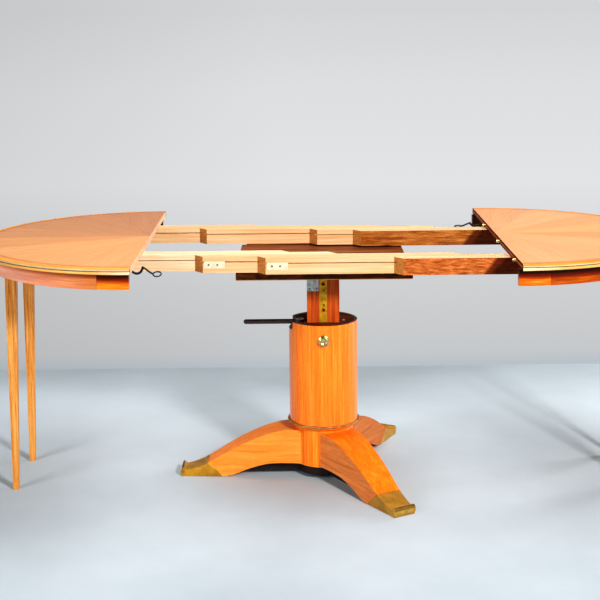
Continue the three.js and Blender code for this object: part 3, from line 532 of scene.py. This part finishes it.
# Knob: turned from one piece of brass, with a broad flange, a rolled rim and a dished face.
# Its steel plunger reaches through the column into the post's strip.
# Handled brass: pale, and bright enough to glint from every ridge.
polished_brass = aged_metal(
    "handled brass", [(0.3, "#a88c50"), (0.5, "#ceb276"), (0.7, "#eedcae")], (0.2, 0.38), 9,
    wear=0.2,
)
KNOB_PLACE = (0, -105, 443)
knob_profile = [
    (0, 0.6), (14.5, 0.6), (16.6, 1.0), (17.5, 2.2), (17.5, 3.4), (16.4, 4.6),
    (14.6, 5.0), (13.4, 6.2), (12.9, 8.0), (13.2, 10.0), (13.9, 11.4), (13.9, 12.6),
    (13.0, 13.8), (11.6, 14.4), (9.4, 14.2), (7.6, 12.9), (5.2, 12.1), (0, 11.9),
]
turned(
    "height_knob_turned", knob_profile, [polished_brass], "brass", "knob", "height_knob",
    centre=KNOB_PLACE, axis="-Y", steps=64,
)
# Ground steel: pale grey and bright.
plunger_steel = aged_metal("ground steel", [(0.3, "#8f8f8c"), (0.7, "#c9c9c5")], (0.2, 0.35), 12)
eased("locking_plunger", [plunger_steel], "steel", edge=0.6)


# Post: a square post of red-brown wood with its grain upright, planed and lacquered, with
# places let in for the strip and the brackets.
RED_BROWN = [(0.3, "#74260a"), (0.46, "#a84010"), (0.56, "#c0561e"), (0.7, "#d87238")]
# Lacquered wood: deep red-brown with dark pores and a soft sheen.
post_wood = wood(
    "red-brown post wood", RED_BROWN, (220, 8), (60, 1.2), tilt=90, pores=0.4, gloss=0.35,
)
eased("post", [post_wood], "post_wood", edge=1.0)


# Brass strip: a flat strip let into the post's front, drilled for the plunger and held by
# two screws.
# Scraped brass: bright yellow with fine upright scratches, and dark where grease clouds it.
strip_brass = aged_metal(
    "scraped brass strip", [(0.3, "#6c4a04"), (0.45, "#bc840e"), (0.7, "#e2ac1c")],
    (0.25, 0.5), 14, brushed=(3, 3, 60), metallic=0.5,
)
eased("post_strip", [strip_brass], "brass", edge=0.3)


def slotted_screw(name, finish, slot, body, place, facing, radius=3.6, turn=30.0):
    """A countersunk screw head with a slot, standing a little proud of what it holds."""
    work = bmesh.new()
    rim = radius * MM
    slot_side = 0.16 * rim
    sunk = Matrix.Translation((0, 0, -0.5 * MM))
    disc = {"cap_ends": True, "segments": 24, "radius1": rim, "radius2": rim, "depth": MM}
    bmesh.ops.create_cone(work, matrix=sunk, **disc)
    for side in (-1, 1):
        geometry = work.verts[:] + work.edges[:] + work.faces[:]
        bmesh.ops.bisect_plane(work, geom=geometry, plane_co=(0, side * slot_side, 0), plane_no=(0, 1, 0))
    tops = [face for face in work.faces if face.normal.z > 0.9]
    crowns = [face for face in tops if abs(face.calc_center_median().y) > slot_side]
    for crown in crowns:
        raised = bmesh.ops.extrude_discrete_faces(work, faces=[crown])["faces"][0]
        bmesh.ops.translate(work, verts=raised.verts, vec=(0, 0, slot_side))
        middle = raised.calc_center_median()
        bmesh.ops.scale(work, verts=raised.verts, vec=(0.9, 0.86, 1), space=Matrix.Translation(-middle))
    toward = Vector(facing).to_track_quat("Z", "Y").to_matrix().to_4x4()
    twist = Matrix.Rotation(math.radians(turn), 4, "Z")
    work.transform(Matrix.Translation(Vector(place) * MM) @ toward @ twist)
    return finished(name, work, [finish], slot, body)


# Old steel: grey and half bright. Grease turns the strip's screws nearly black.
screw_steel = aged_metal("old screw steel", [(0.3, "#4a463f"), (0.7, "#8d877a")], (0.3, 0.5), 4)
dark_steel = aged_metal("greased screw steel", [(0.3, "#1c140c"), (0.7, "#4a3820")], (0.3, 0.5), 4)
POST_FACE = 49
STRIP_SCREWS = ((1.5, 541), (2, 586))
for i, (x, z) in enumerate(STRIP_SCREWS):
    place = (x, -POST_FACE, z)
    name = f"strip_screw_{i + 1}"
    slotted_screw(name, dark_steel, "brass", "lift", place, (0, -1, 0), radius=3.0, turn=20 + 50 * i)


# Brackets: two angles of pressed steel, screwed to the post and up into the board.
# Pressed steel: pale grey, bright in patches.
pressed_steel = aged_metal(
    "pressed steel", [(0.3, "#8d8a83"), (0.5, "#b9b8b4"), (0.7, "#d8d8d6")], (0.3, 0.55), 10,
)
BRACKET_SCREWS = ((-41, 591.5), (-20, 592.5), (-31, 628))
ARM_SCREWS = (-70, -94)
ARM_MIDDLE = 31.5
ARM_UNDERSIDE = 653.9
for side, sign in (("front", -1), ("rear", 1)):
    eased(f"{side}_bracket", [pressed_steel], "steel", edge=0.4)
    for i, (x, z) in enumerate(BRACKET_SCREWS):
        place = (-sign * x, sign * POST_FACE, z)
        name = f"{side}_bracket_screw_{i + 1}"
        slotted_screw(name, screw_steel, "steel", "lift", place, (0, sign, 0), 3.4, 25 + 40 * i)
    for i, y in enumerate(ARM_SCREWS):
        place = (sign * ARM_MIDDLE, -sign * y, ARM_UNDERSIDE)
        name = f"{side}_arm_screw_{i + 1}"
        slotted_screw(name, screw_steel, "steel", "lift", place, (0, 0, -1), 3.4, 60 * i)


# Board and packers: a dark stained board that carries the slides, with a thin strip on each
# long edge that fills the gap under the fixed rails.
# Stain without lacquer: dark and dull with paler streaks, nearly black on the long edges, and
# rubbed to bare wood along their lower arris.
DARK_BOARD = [(0.3, "#260e06"), (0.46, "#542610"), (0.58, "#7a4220"), (0.7, "#a26c3e")]
BLACK_EDGE = [(0.38, "#1a0a05"), (0.52, "#361709"), (0.62, "#603016"), (0.7, "#a8662f")]
board_stain = wood(
    "dark stained board", DARK_BOARD, (320, 16), (80, 1.8), pores=0.4, gloss=0.45, coat=0.0,
    specular=0.15,
)
edge_stain = wood("black stained edge", BLACK_EDGE, (60, 12), (30, 2), gloss=0.55, coat=0.0)
worn_arris = wood(
    "worn lower arris", [(0.35, "#8a4f26"), (0.65, "#c98a55")], (70, 6), (30, 2), gloss=0.5,
    coat=0.0,
)
board = eased("mount_board", [board_stain, edge_stain, worn_arris], "board_wood", edge=2.4, segments=1)
for face in board.data.polygons:
    if abs(face.normal.y) > 0.9:
        face.material_index = 1
    elif abs(face.normal.y) > 0.3 and face.normal.z < -0.3:
        face.material_index = 2
for side in ("front", "rear"):
    eased(f"{side}_packer", [board_stain], "board_wood", edge=0.4)


# Slides: two sets of five planed pine rails with grooves and tongues that run in each other.
# The slanted ends show end grain, and two rails have a stained hardwood face.
# Waxed pine: pale with a faint sheen, and browner where the end grain has drunk the wax. The
# stained faces are red-brown with dark flecks, and carry a painted shadow where the right half's
# edge shades them.
PINE = [(0.3, "#bc8c58"), (0.45, "#d2a474"), (0.56, "#dbb186"), (0.7, "#e4c29e")]
# Front rails 1 and 2 take a copy of the pine that is painted paler for the light that falls on them.
LIT_PINE_TONES = [(0.3, "#c79e70"), (0.45, "#deba90"), (0.56, "#e7c9a6"), (0.7, "#eed7bc")]
rail_pine = wood("planed pine", PINE, (340, 8), (90, 1.3), gloss=0.5, coat=0.05, relief=0.35)
lit_pine = wood(
    "pale planed pine", LIT_PINE_TONES, (340, 8), (90, 1.3), gloss=0.5, coat=0.05, relief=0.35,
)
end_grain = wood(
    "pine end grain", [(0.3, "#8e5024"), (0.5, "#b87436"), (0.7, "#d49654")], (8, 5),
    (1.2, 1.2), gloss=0.65, coat=0.0,
)
FACED_RAILS = ("front_rail_5", "rear_rail_1")
LIT_RAILS = ("front_rail_1", "front_rail_2")
FACED = [(0.34, "#5e240a"), (0.44, "#94461a"), (0.54, "#b8642e"), (0.66, "#d2824a")]


def painted_edge_shadow(tree):
    """A painted shadow of the top's edge: beyond a line that leans 0.81 along for each 1 up, the face is
    painted darker.
    """
    spot = add(tree, "ShaderNodeTexCoord").outputs["Object"]
    parts = add(tree, "ShaderNodeSeparateXYZ", {0: spot}).outputs
    line = add(tree, "ShaderNodeMath", {0: parts["Z"], 1: -0.81, 2: 0.592}, operation="MULTIPLY_ADD")
    line = add(tree, "ShaderNodeMath", {0: parts["X"], 1: line}, operation="ADD")
    share = add(tree, "ShaderNodeMapRange", {"Value": line, "From Min": 0.477, "From Max": 0.491})
    return add(tree, "ShaderNodeValToRGB", {"Fac": share}, stops=[(0.0, "#ffffff"), (1.0, "#7a4a48")])


FACED_REAR = [(0.34, "#54240a"), (0.44, "#864618"), (0.54, "#a4622a"), (0.66, "#bc7e40")]
stained_face = wood(
    "stained hardwood face", FACED, (34, 7), (24, 1.6), gloss=0.42, coat=0.05, pores=0.5,
    cast=painted_edge_shadow,
)
rear_face = wood(
    "rear stained hardwood face", FACED_REAR, (70, 8), (30, 1.6), gloss=0.42, coat=0.05,
    pores=0.5, cast=painted_edge_shadow,
)


def rail_faces(node):
    """End grain on the cut ends, and hardwood on the near face of a faced rail."""

    def chooser(face):
        if abs(face.normal.x) > 0.5 and face.calc_area() > 500 * MM * MM:
            return 1
        return 2 if node in FACED_RAILS and face.normal.y < -0.9 else 0

    return chooser


for side in ("front", "rear"):
    for order in range(1, 6):
        node = f"{side}_rail_{order}"
        slot = "faced_slide_wood" if node in FACED_RAILS else "slide_wood"
        hardwood = stained_face if side == "front" else rear_face
        pine = lit_pine if node in LIT_RAILS else rail_pine
        # The fixed rails are eased less, since a wider rounding leaves slivers on them.
        rounding = 0.3 if order == 3 else 0.7
        eased(node, [pine, end_grain, hardwood], slot, edge=rounding, face_finish=rail_faces(node))


# Stop plates: small nickelled plates, let into the rails' faces with two screws each. The
# next rail's tongue comes up against them.
# Nickel under old wax: pale yellow, with a blurred sheen.
pale_plate = aged_metal(
    "yellowed nickel plate", [(0.3, "#cfc09a"), (0.5, "#dfd2b0"), (0.7, "#ebdfc2")],
    (0.35, 0.55), 12, metallic=0.25,
)
PLATES = ((3, (-332, -307), -254), (4, (-150, -127), -284.6))  # rail, screws along it, its face
PLATE_MIDDLE = 707.5
for side, sign in (("front", 1), ("rear", -1)):
    for order, xs, y in PLATES:
        body = "lift" if order == 3 else f"{side}_fourth_slide"
        eased(f"{side}_plate_{order}", [pale_plate], "steel", edge=0.3)
        for i, x in enumerate(xs):
            place = (sign * x, sign * y, PLATE_MIDDLE)
            name = f"{side}_plate_{order}_screw_{i + 1}"
            slotted_screw(name, screw_steel, "steel", body, place, (0, -sign, 0), 2.8, 35 + 70 * i)


# Top: two half discs of board, veneered with leaves that run out from the middle of the
# table like a sunburst. The joint's edge is bare board, pale on the left half and dark in layers
# on the right half.
LEAF = 22.5  # degrees
HALF_CENTRE = 0.526  # metres from the table's middle to each half's own, along X
HALVES = (("left", -1), ("right", 1))


def round_half(tree, sign):
    """A half's own place: the angle from its middle line, and the distance from its centre."""
    spot = add(tree, "ShaderNodeTexCoord").outputs["Object"]
    moved = {"Vector": spot, "Location": (-sign * HALF_CENTRE, 0, 0)}
    parts = add(tree, "ShaderNodeSeparateXYZ", {0: add(tree, "ShaderNodeMapping", moved)}).outputs
    away = add(tree, "ShaderNodeMath", {0: parts["X"], 1: sign}, operation="MULTIPLY")
    angle = add(tree, "ShaderNodeMath", {0: parts["Y"], 1: away}, operation="ARCTAN2")
    flat = add(tree, "ShaderNodeCombineXYZ", {0: parts["X"], 1: parts["Y"]})
    radius = add(tree, "ShaderNodeVectorMath", {0: flat}, operation="LENGTH").outputs["Value"]
    return angle, radius


def sunburst_place(sign):
    """Each leaf's own place: along its middle line, across it mirrored with its neighbour, and a
    different slice for each pair of leaves."""

    def place(tree):
        angle, radius = round_half(tree, sign)
        leaves = add(tree, "ShaderNodeMath", {0: angle, 1: math.radians(LEAF)}, operation="DIVIDE")
        number = add(tree, "ShaderNodeMath", {0: leaves}, operation="FLOOR")
        within = add(tree, "ShaderNodeMath", {0: leaves, 1: number}, operation="SUBTRACT")
        within = add(tree, "ShaderNodeMath", {0: within, 1: 0.5}, operation="SUBTRACT")
        odd = add(tree, "ShaderNodeMath", {0: number, 1: 2.0}, operation="MODULO")
        odd = add(tree, "ShaderNodeMath", {0: odd}, operation="ABSOLUTE")
        flip = add(tree, "ShaderNodeMath", {0: odd, 1: -2.0, 2: 1.0}, operation="MULTIPLY_ADD")
        swing = add(tree, "ShaderNodeMath", {0: within, 1: math.radians(LEAF)}, operation="MULTIPLY")
        swing = add(tree, "ShaderNodeMath", {0: swing, 1: flip}, operation="MULTIPLY")
        along = add(tree, "ShaderNodeMath", {0: swing}, operation="COSINE")
        along = add(tree, "ShaderNodeMath", {0: along, 1: radius}, operation="MULTIPLY")
        across = add(tree, "ShaderNodeMath", {0: swing}, operation="SINE")
        across = add(tree, "ShaderNodeMath", {0: across, 1: radius}, operation="MULTIPLY")
        pair = add(tree, "ShaderNodeMath", {0: number, 1: 0.13}, operation="MULTIPLY")
        return add(tree, "ShaderNodeCombineXYZ", {0: along, 1: across, 2: pair}).outputs[0]

    return place


SUNBURST = [(0.3, "#d59b68"), (0.45, "#d9a06c"), (0.56, "#dfa773"), (0.7, "#e6b17d")]
# Bare board: pale and dull.
PALE_EDGE = [(0.3, "#b98564"), (0.5, "#d9ab8a"), (0.7, "#e8c3a6")]
raw_edge = wood("raw joint edge", PALE_EDGE, (120, 4), (40, 1.2), turn=90, **BARE)


BOARD_BOTTOM = 0.732
BOARD_TOP = 0.75
EDGE_LAYERS = [
    (0.0, "#5a3226"), (0.3, "#c08a62"), (0.45, "#ffffff"), (0.62, "#b88262"), (0.8, "#5c3020"),
]


def layered(tree):
    """Darkest under the veneer and along the lower edge, and paler between."""
    spot = add(tree, "ShaderNodeTexCoord").outputs["Object"]
    height = add(tree, "ShaderNodeSeparateXYZ", {0: spot}).outputs["Z"]
    share = {"Value": height, "From Min": BOARD_BOTTOM, "From Max": BOARD_TOP}
    share = add(tree, "ShaderNodeMapRange", share)
    return add(tree, "ShaderNodeValToRGB", {"Fac": share}, stops=EDGE_LAYERS)


# The right half's edge: brown in layers and dull, with no glint.
DARK_EDGE = [(0.35, "#7a3c18"), (0.5, "#b06430"), (0.62, "#d08c50")]
dark_edge = wood(
    "dark joint edge", DARK_EDGE, (120, 4), (40, 1.2), turn=90, specular=0.05, cast=layered, **BARE
)
UNDERSIDE = [(0.3, "#a77c52"), (0.5, "#c79b6c"), (0.7, "#dcb68a")]
underside = wood("raw underside", UNDERSIDE, (300, 14), (80, 1.6), turn=90, **BARE)


BAND_RADII = (0.47, 0.5)
CROSS_BAND = [(0.6, "#ffffff"), (0.64, "#c88a5c"), (0.71, "#c88a5c"), (0.75, "#f8dcac")]


def painted_leaf_light(sign, tints):
    """Each leaf is painted with the light and reflection it shows, from the front one round to the
    back one. A darker orange band runs round the rim, inside the lipping."""

    def cast(tree):
        angle, radius = round_half(tree, sign)
        half_turn = {0: angle, 1: 1 / math.pi, 2: 0.5}
        share = add(tree, "ShaderNodeMath", half_turn, operation="MULTIPLY_ADD")
        leaf = add(tree, "ShaderNodeValToRGB", {"Fac": share}, stops=tints)
        inner, outer = BAND_RADII
        out = add(tree, "ShaderNodeMapRange", {"Value": radius, "From Min": inner, "From Max": outer})
        band = add(tree, "ShaderNodeValToRGB", {"Fac": out}, stops=CROSS_BAND)
        return add(tree, "ShaderNodeMix", {0: 1.0, 6: leaf, 7: band}, **MULTIPLIED).outputs[2]

    return cast


def leaf_stops(codes):
    """One colour for each leaf, with a short change between neighbours."""
    width = LEAF / 180
    change = 0.006
    stops = []
    for i, code in enumerate(codes):
        stops += [(width * i + change, code), (width * (i + 1) - change, code)]
    return stops


LEFT_LEAF_LIGHT = ["#fff0da", "#fff2d8", "#fff2d6", "#f6e0c6", "#e6d2c2", "#dfcbbe", "#dcc6bb", "#d8c2ba"]
RIGHT_LEAF_LIGHT = ["#ffe9e2", "#fbe8e0", "#fdeee2", "#f3dccf", "#fff4dc", "#f6e6da", "#fcf2ec", "#f2e6e0"]


def top_face(face):
    """Veneer on top, raw board underneath, and the edges between them."""
    if face.normal.z > 0.5:
        return 0
    return 2 if face.normal.z < -0.5 else 1


# Satin lacquer over veneer: smooth, with a soft reflection. Neighbouring leaves differ in tone,
# each painted with its own light and reflection.
for half, sign in HALVES:
    tints = leaf_stops(LEFT_LEAF_LIGHT if half == "left" else RIGHT_LEAF_LIGHT)
    leaves = wood(
        f"sunburst veneer {half}", SUNBURST, (300, 22), (120, 2.2), place=sunburst_place(sign),
        gloss=0.28, relief=0.0, cast=painted_leaf_light(sign, tints),
    )
    edge = raw_edge if half == "left" else dark_edge
    eased(f"{half}_top", [leaves, edge, underside], "top_veneer", edge=0.3, face_finish=top_face)


# Lipping: a solid moulded band round each half, rounded on top, with a groove over a bold
# bead. It is spun in one piece from its profile, with the grain round the edge.
ARC_RADIUS = 0.5  # a radius near the rim, in metres, that turns an angle into a length


def lipping_place(tree):
    """Grain runs round the edge: arc length, then distance out and height."""
    spot = add(tree, "ShaderNodeTexCoord").outputs["Object"]
    parts = add(tree, "ShaderNodeSeparateXYZ", {0: spot}).outputs
    side = add(tree, "ShaderNodeMath", {0: parts["X"]}, operation="ABSOLUTE")
    side = add(tree, "ShaderNodeMath", {0: side, 1: HALF_CENTRE}, operation="SUBTRACT")
    angle = add(tree, "ShaderNodeMath", {0: parts["Y"], 1: side}, operation="ARCTAN2")
    arc = add(tree, "ShaderNodeMath", {0: angle, 1: ARC_RADIUS}, operation="MULTIPLY")
    flat = add(tree, "ShaderNodeCombineXYZ", {0: side, 1: parts["Y"]})
    out = add(tree, "ShaderNodeVectorMath", {0: flat}, operation="LENGTH").outputs["Value"]
    return add(tree, "ShaderNodeCombineXYZ", {0: arc, 1: out, 2: parts["Z"]}).outputs[0]


def painted_bead_highlight(tree):
    """A painted highlight: pale near the joint, and gold from there round the rim."""
    spot = add(tree, "ShaderNodeTexCoord").outputs["Object"]
    parts = add(tree, "ShaderNodeSeparateXYZ", {0: spot}).outputs
    side = add(tree, "ShaderNodeMath", {0: parts["X"]}, operation="ABSOLUTE")
    share = add(tree, "ShaderNodeMapRange", {"Value": side, "From Min": 0.52, "From Max": 0.66})
    return add(tree, "ShaderNodeValToRGB", {"Fac": share}, stops=[(0.2, "#ffffff"), (0.8, "#eac787")])


# The bead is gold and the glossiest wood here, with a painted highlight near the joint. The
# groove is dark, a pale line stands over it as a painted highlight, and the round above is orange
# and duller.
GOLDEN = [(0.3, "#dfba80"), (0.46, "#eccc9a"), (0.56, "#f6dcb4"), (0.7, "#fceacc")]
CROSS = {
    "left": [(0.3, "#b6762e"), (0.46, "#cc8c3e"), (0.56, "#d89a4c"), (0.7, "#e2aa62")],
    "right": [(0.3, "#b0621a"), (0.46, "#c87826"), (0.56, "#d48634"), (0.7, "#de964a")],
}
golden_lip = wood(
    "golden lipping", GOLDEN, (160, 5), (50, 1.0), place=lipping_place, gloss=0.21, coat=0.0,
    specular=1.0, cast=painted_bead_highlight,
)
painted_highlight_line = wood(
    "pale line", [(0.35, "#ab9478"), (0.65, "#cbb899")], (160, 5), (50, 1.0),
    place=lipping_place, gloss=0.45, coat=0.0, specular=0.2,
)
dark_groove = wood(
    "groove", [(0.35, "#2c2614"), (0.65, "#584a2a")], (100, 5), (50, 1.0), place=lipping_place,
    gloss=0.5, coat=0.1,
)


def rounded(out, height, radius, degrees):
    """Points on a circle about (out, height), in millimetres, one for each angle."""
    angles = [math.radians(d) for d in degrees]
    return [(out + radius * math.cos(a), height + radius * math.sin(a)) for a in angles]


# Points (distance out, height) from the inside of the underside, round the outside.
LIPPING_PROFILE = [
    (503.3, 732), *rounded(514, 736, 4, range(-90, 91, 18)),
    (513.4, 740.3), (513.0, 741.0), (513.6, 741.8), (516.2, 742),
    *rounded(510.75, 744, 6, range(0, 91, 15)), (504.6, 750), (503.9, 749.5), (503.3, 749.5),
]
BEAD_TOP = 740
GROOVE_TOP = 742.1
HIGHLIGHT_LINE_TOP = 745.2


def lip_face(face):
    """Gold bead, dark groove, painted highlight line and orange round, from below upward."""
    height = face.calc_center_median().z / MM
    if height < BEAD_TOP:
        return 0
    if height < GROOVE_TOP:
        return 2
    return 3 if height < HIGHLIGHT_LINE_TOP else 1


for half, sign in HALVES:
    work = bmesh.new()
    centre = Vector((sign * HALF_CENTRE, 0, 0))
    section = [work.verts.new((centre.x, -r * MM, z * MM)) for r, z in LIPPING_PROFILE]
    start = work.faces.new(section)
    spun(work, [start, *start.edges, *section], centre, sign * 180, 128)
    for face in work.faces:
        face.material_index = lip_face(face)
    cross_band = wood(
        f"orange cross-band {half}", CROSS[half], (160, 5), (50, 1.0), place=lipping_place,
        gloss=0.5, coat=0.0, specular=0.12,
    )
    finishes = [golden_lip, cross_band, dark_groove, painted_highlight_line]
    finished(
        f"{half}_lipping_moulded", work, finishes, "lipping_wood", f"{half}_half",
        f"{half}_lipping", smooth=50,
    )


# Aprons: a curved board under each half, set in from the edge, with a separate block of
# brighter orange wood at its front end. Both are veneered with the grain along them. The left
# apron is painted pinker with reflection, paler toward its end, and the right apron redder and
# darker with painted shade.
APRON_BOTTOM = 0.686
APRON_TOP = 0.7317


def painted_lip_shadow(stops, inward=None):
    """A painted shadow: the upper part, under the lip, is darker, and painted light and reflection
    can change the tone from the table's end inward."""

    def cast(tree):
        spot = add(tree, "ShaderNodeTexCoord").outputs["Object"]
        parts = add(tree, "ShaderNodeSeparateXYZ", {0: spot}).outputs
        share = {"Value": parts["Z"], "From Min": APRON_BOTTOM, "From Max": APRON_TOP}
        share = add(tree, "ShaderNodeMapRange", share)
        band = add(tree, "ShaderNodeValToRGB", {"Fac": share}, stops=stops)
        if not inward:
            return band
        along = add(tree, "ShaderNodeMath", {0: parts["X"]}, operation="ABSOLUTE")
        along = add(tree, "ShaderNodeMapRange", {"Value": along, "From Min": 1.04, "From Max": 0.62})
        fading = add(tree, "ShaderNodeValToRGB", {"Fac": along}, stops=inward)
        return add(tree, "ShaderNodeMix", {0: 1.0, 6: band, 7: fading}, **MULTIPLIED).outputs[2]

    return cast


# Old lacquer: a soft sheen, with a painted shadow darker toward the lip above. The inside is
# painted nearly black for shade, and dull.
DEEP_LIP_SHADOW = [
    (0.34, "#ffffff"), (0.44, "#dcaa90"), (0.56, "#884630"),
    (0.68, "#5e1a0e"), (0.8, "#440e08"), (0.92, "#200804"),
]
FAINT_LIP_SHADOW = [(0.6, "#ffffff"), (0.76, "#d6ac94"), (1.0, "#be8e76")]
END_REFLECTION_FADE = [(0.45, "#ffffff"), (0.6, "#fbecdc"), (0.95, "#dabc80")]
REFLECTION_PINK = [(0.3, "#c07458"), (0.45, "#dc9478"), (0.56, "#e8a488"), (0.7, "#f4b89c")]
SHADED_RED_ORANGE = [(0.34, "#6e2602"), (0.45, "#983a04"), (0.55, "#ae4e08"), (0.66, "#c87018")]
DEEP_GOLD = [(0.34, "#983e04"), (0.45, "#c05808"), (0.55, "#d67214"), (0.66, "#ec962e")]
ORANGE_GOLD = [(0.34, "#b04e06"), (0.45, "#d46e10"), (0.55, "#e68a20"), (0.66, "#f6aa44")]
INSIDE = [(0.35, "#180a07"), (0.65, "#341810")]
shaded_apron_inside = wood("apron inside in painted shade", INSIDE, (200, 9), (60, 1.4), place=lipping_place, **BARE)
APRON_WOODS = {
    "left_apron": ("left apron veneer", REFLECTION_PINK, (200, 8), (70, 1.2), 0.3, painted_lip_shadow(FAINT_LIP_SHADOW, END_REFLECTION_FADE)),
    "left_apron_block": ("left block veneer", ORANGE_GOLD, (120, 8), (50, 1.2), 0.3, painted_lip_shadow(DEEP_LIP_SHADOW)),
    "right_apron": ("right apron veneer", SHADED_RED_ORANGE, (200, 8), (70, 1.2), 0.3, painted_lip_shadow(DEEP_LIP_SHADOW)),
    "right_apron_block": ("right block veneer", DEEP_GOLD, (110, 9), (50, 1.2), 0.2, painted_lip_shadow(DEEP_LIP_SHADOW)),
}
APRON_END = 0.535  # metres from the table's middle, just beyond the aprons' ends at the joint
END_ROOM = 0.3  # millimetres
CUT_END_AREA = 0.001  # square metres, larger than an apron's end


def apron_face(face):
    """Veneer outside and on the cut ends, and painted shade inside."""
    middle = face.calc_center_median()
    middle.x -= math.copysign(HALF_CENTRE, middle.x)
    outward = face.normal.dot(middle.xy.to_3d().normalized())
    cut_end = abs(face.normal.x) > 0.99 and face.calc_area() < CUT_END_AREA
    return 0 if outward > 0.3 or cut_end else 1


def shortened(work):
    """The ends stop a little short, so that the two aprons have room when the top is closed."""
    for vert in work.verts:
        if abs(vert.co.x) < APRON_END:
            vert.co.x += math.copysign(END_ROOM * MM, vert.co.x)


for node, (name, tones, figure, fibre, pores, cast) in APRON_WOODS.items():
    veneer = wood(name, tones, figure, fibre, place=lipping_place, pores=pores, cast=cast)
    settings = {"edge": 0.4, "face_finish": apron_face, "dressing": shortened}
    eased(node, [veneer, shaded_apron_inside], "column_veneer", **settings)


# Leg blocks and legs: pine blocks under the outer ends, with sockets that four square
# tapered legs plug into.
# The blocks are raw and dull. The legs are brown with darker streaks and a weak sheen.
STREAKED = [(0.34, "#7c4216"), (0.43, "#c27a38"), (0.55, "#de9a4e"), (0.7, "#ecb26a")]
block_pine = wood("raw leg block", PINE, (200, 9), (60, 1.4), turn=90, **BARE)
leg_wood = wood(
    "streaked leg wood", STREAKED, (260, 6), (80, 1.3), tilt=90, gloss=0.4, coat=0.05,
    pores=0.6, specular=0.12,
)
for half in ("left", "right"):
    eased(f"{half}_leg_block", [block_pine], "slide_wood", edge=1.2)
    for row in ("front", "rear"):
        eased(f"{half}_{row}_leg", [leg_wood], "leg_wood", edge=1.2)


# Joint pins: three turned brass pins with rounded noses, glued into the right half's edge.
# Pale brass: bright, rubbed by the holes of the other half.
pin_brass = aged_metal(
    "pale brass pin", [(0.3, "#b99d62"), (0.5, "#dcc48d"), (0.7, "#f1dfb4")], (0.2, 0.4), 6,
)
for i in (1, 2, 3):
    eased(f"joint_pin_{i}", [pin_brass], "brass", edge=1.4, segments=3)


# Hooks: bent from black iron. A thick rod pivots in the top, dips and turns up beside a
# thinner wire that ends in an eye. Each goes through a small plate on the underside.
def bent_wire(name, runs, body, *replaced):
    """Round wire through points, each with its own radius, all in millimetres."""
    data = bpy.data.curves.new(name, "CURVE")
    data.dimensions = "3D"
    data.bevel_depth = 1 * MM
    data.bevel_resolution = 4
    data.resolution_u = 10
    data.use_fill_caps = True
    for points, closed in runs:
        line = data.splines.new("NURBS")
        line.points.add(len(points) - 1)
        for point, (x, y, z, radius) in zip(line.points, points):
            point.co = (x * MM, y * MM, z * MM, 1)
            point.radius = radius
        line.order_u = 4
        line.use_endpoint_u = not closed
        line.use_cyclic_u = closed
    data.materials.append(black_iron)
    wire = bpy.data.objects.new(name, data)
    bpy.context.scene.collection.objects.link(wire)
    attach(wire, body)
    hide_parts(*replaced)


# A hook from its pivot outward, as shares of its reach and of how far it drops.
HOOK_ROD = [(0, -0.3), (0.1, -0.66), (0.5, -1.05), (0.87, -0.78), (0.98, -0.22)]
HOOK_WIRE = [(0.44, -0.22), (0.47, -0.26), (0.54, -0.34), (0.66, -0.63), (0.8, -0.93), (0.87, -0.98)]
HOOK_LEVEL = 728.4
HOOK_SIDE = 350
SHANK = 10
ROD_REACH = 38
EYE_REACH = 76
EYE_RADIUS = 11.9
EYE_TILT = 0.436  # radians
ROD_THICK = 3.5
WIRE_THICK = 2.7
EYE_THICK = 1.9
for half, sign, pivot, drop in (("left", 1, -546, 27), ("right", -1, 532, 15)):
    y = -HOOK_SIDE * sign
    rod = [(pivot, y, HOOK_LEVEL + SHANK, ROD_THICK), (pivot, y, HOOK_LEVEL, ROD_THICK)]
    for along, down in HOOK_ROD:
        rod.append((pivot + sign * ROD_REACH * along, y, HOOK_LEVEL + drop * down, ROD_THICK))
    wire = []
    for along, down in HOOK_WIRE:
        wire.append((pivot + sign * EYE_REACH * along, y, HOOK_LEVEL + drop * down, WIRE_THICK))
    eye = []
    for out, over in rounded(EYE_REACH, 0, EYE_RADIUS, range(0, 360, 30)):
        lean = over * math.cos(EYE_TILT)
        rise = sign * over * math.sin(EYE_TILT)
        eye.append((pivot + sign * out, y + lean, HOOK_LEVEL - drop + rise, EYE_THICK))
    runs = [(rod, False), (wire, False), (eye, True)]
    bent_wire(f"{half}_hook_bent", runs, f"{half}_hook_body", f"{half}_hook")
    eased(f"{half}_hook_plate", [black_iron], "black_iron", edge=0.3)
    eased(f"{half}_catch", [black_iron], "black_iron", edge=0.5)


# Cap screw: one countersunk steel screw that holds the cap down beside the post.
slotted_screw("cap_screw", screw_steel, "cap_wood", "pedestal", (63, -20.5, 487), (0, 0, 1), 4.2, 10)
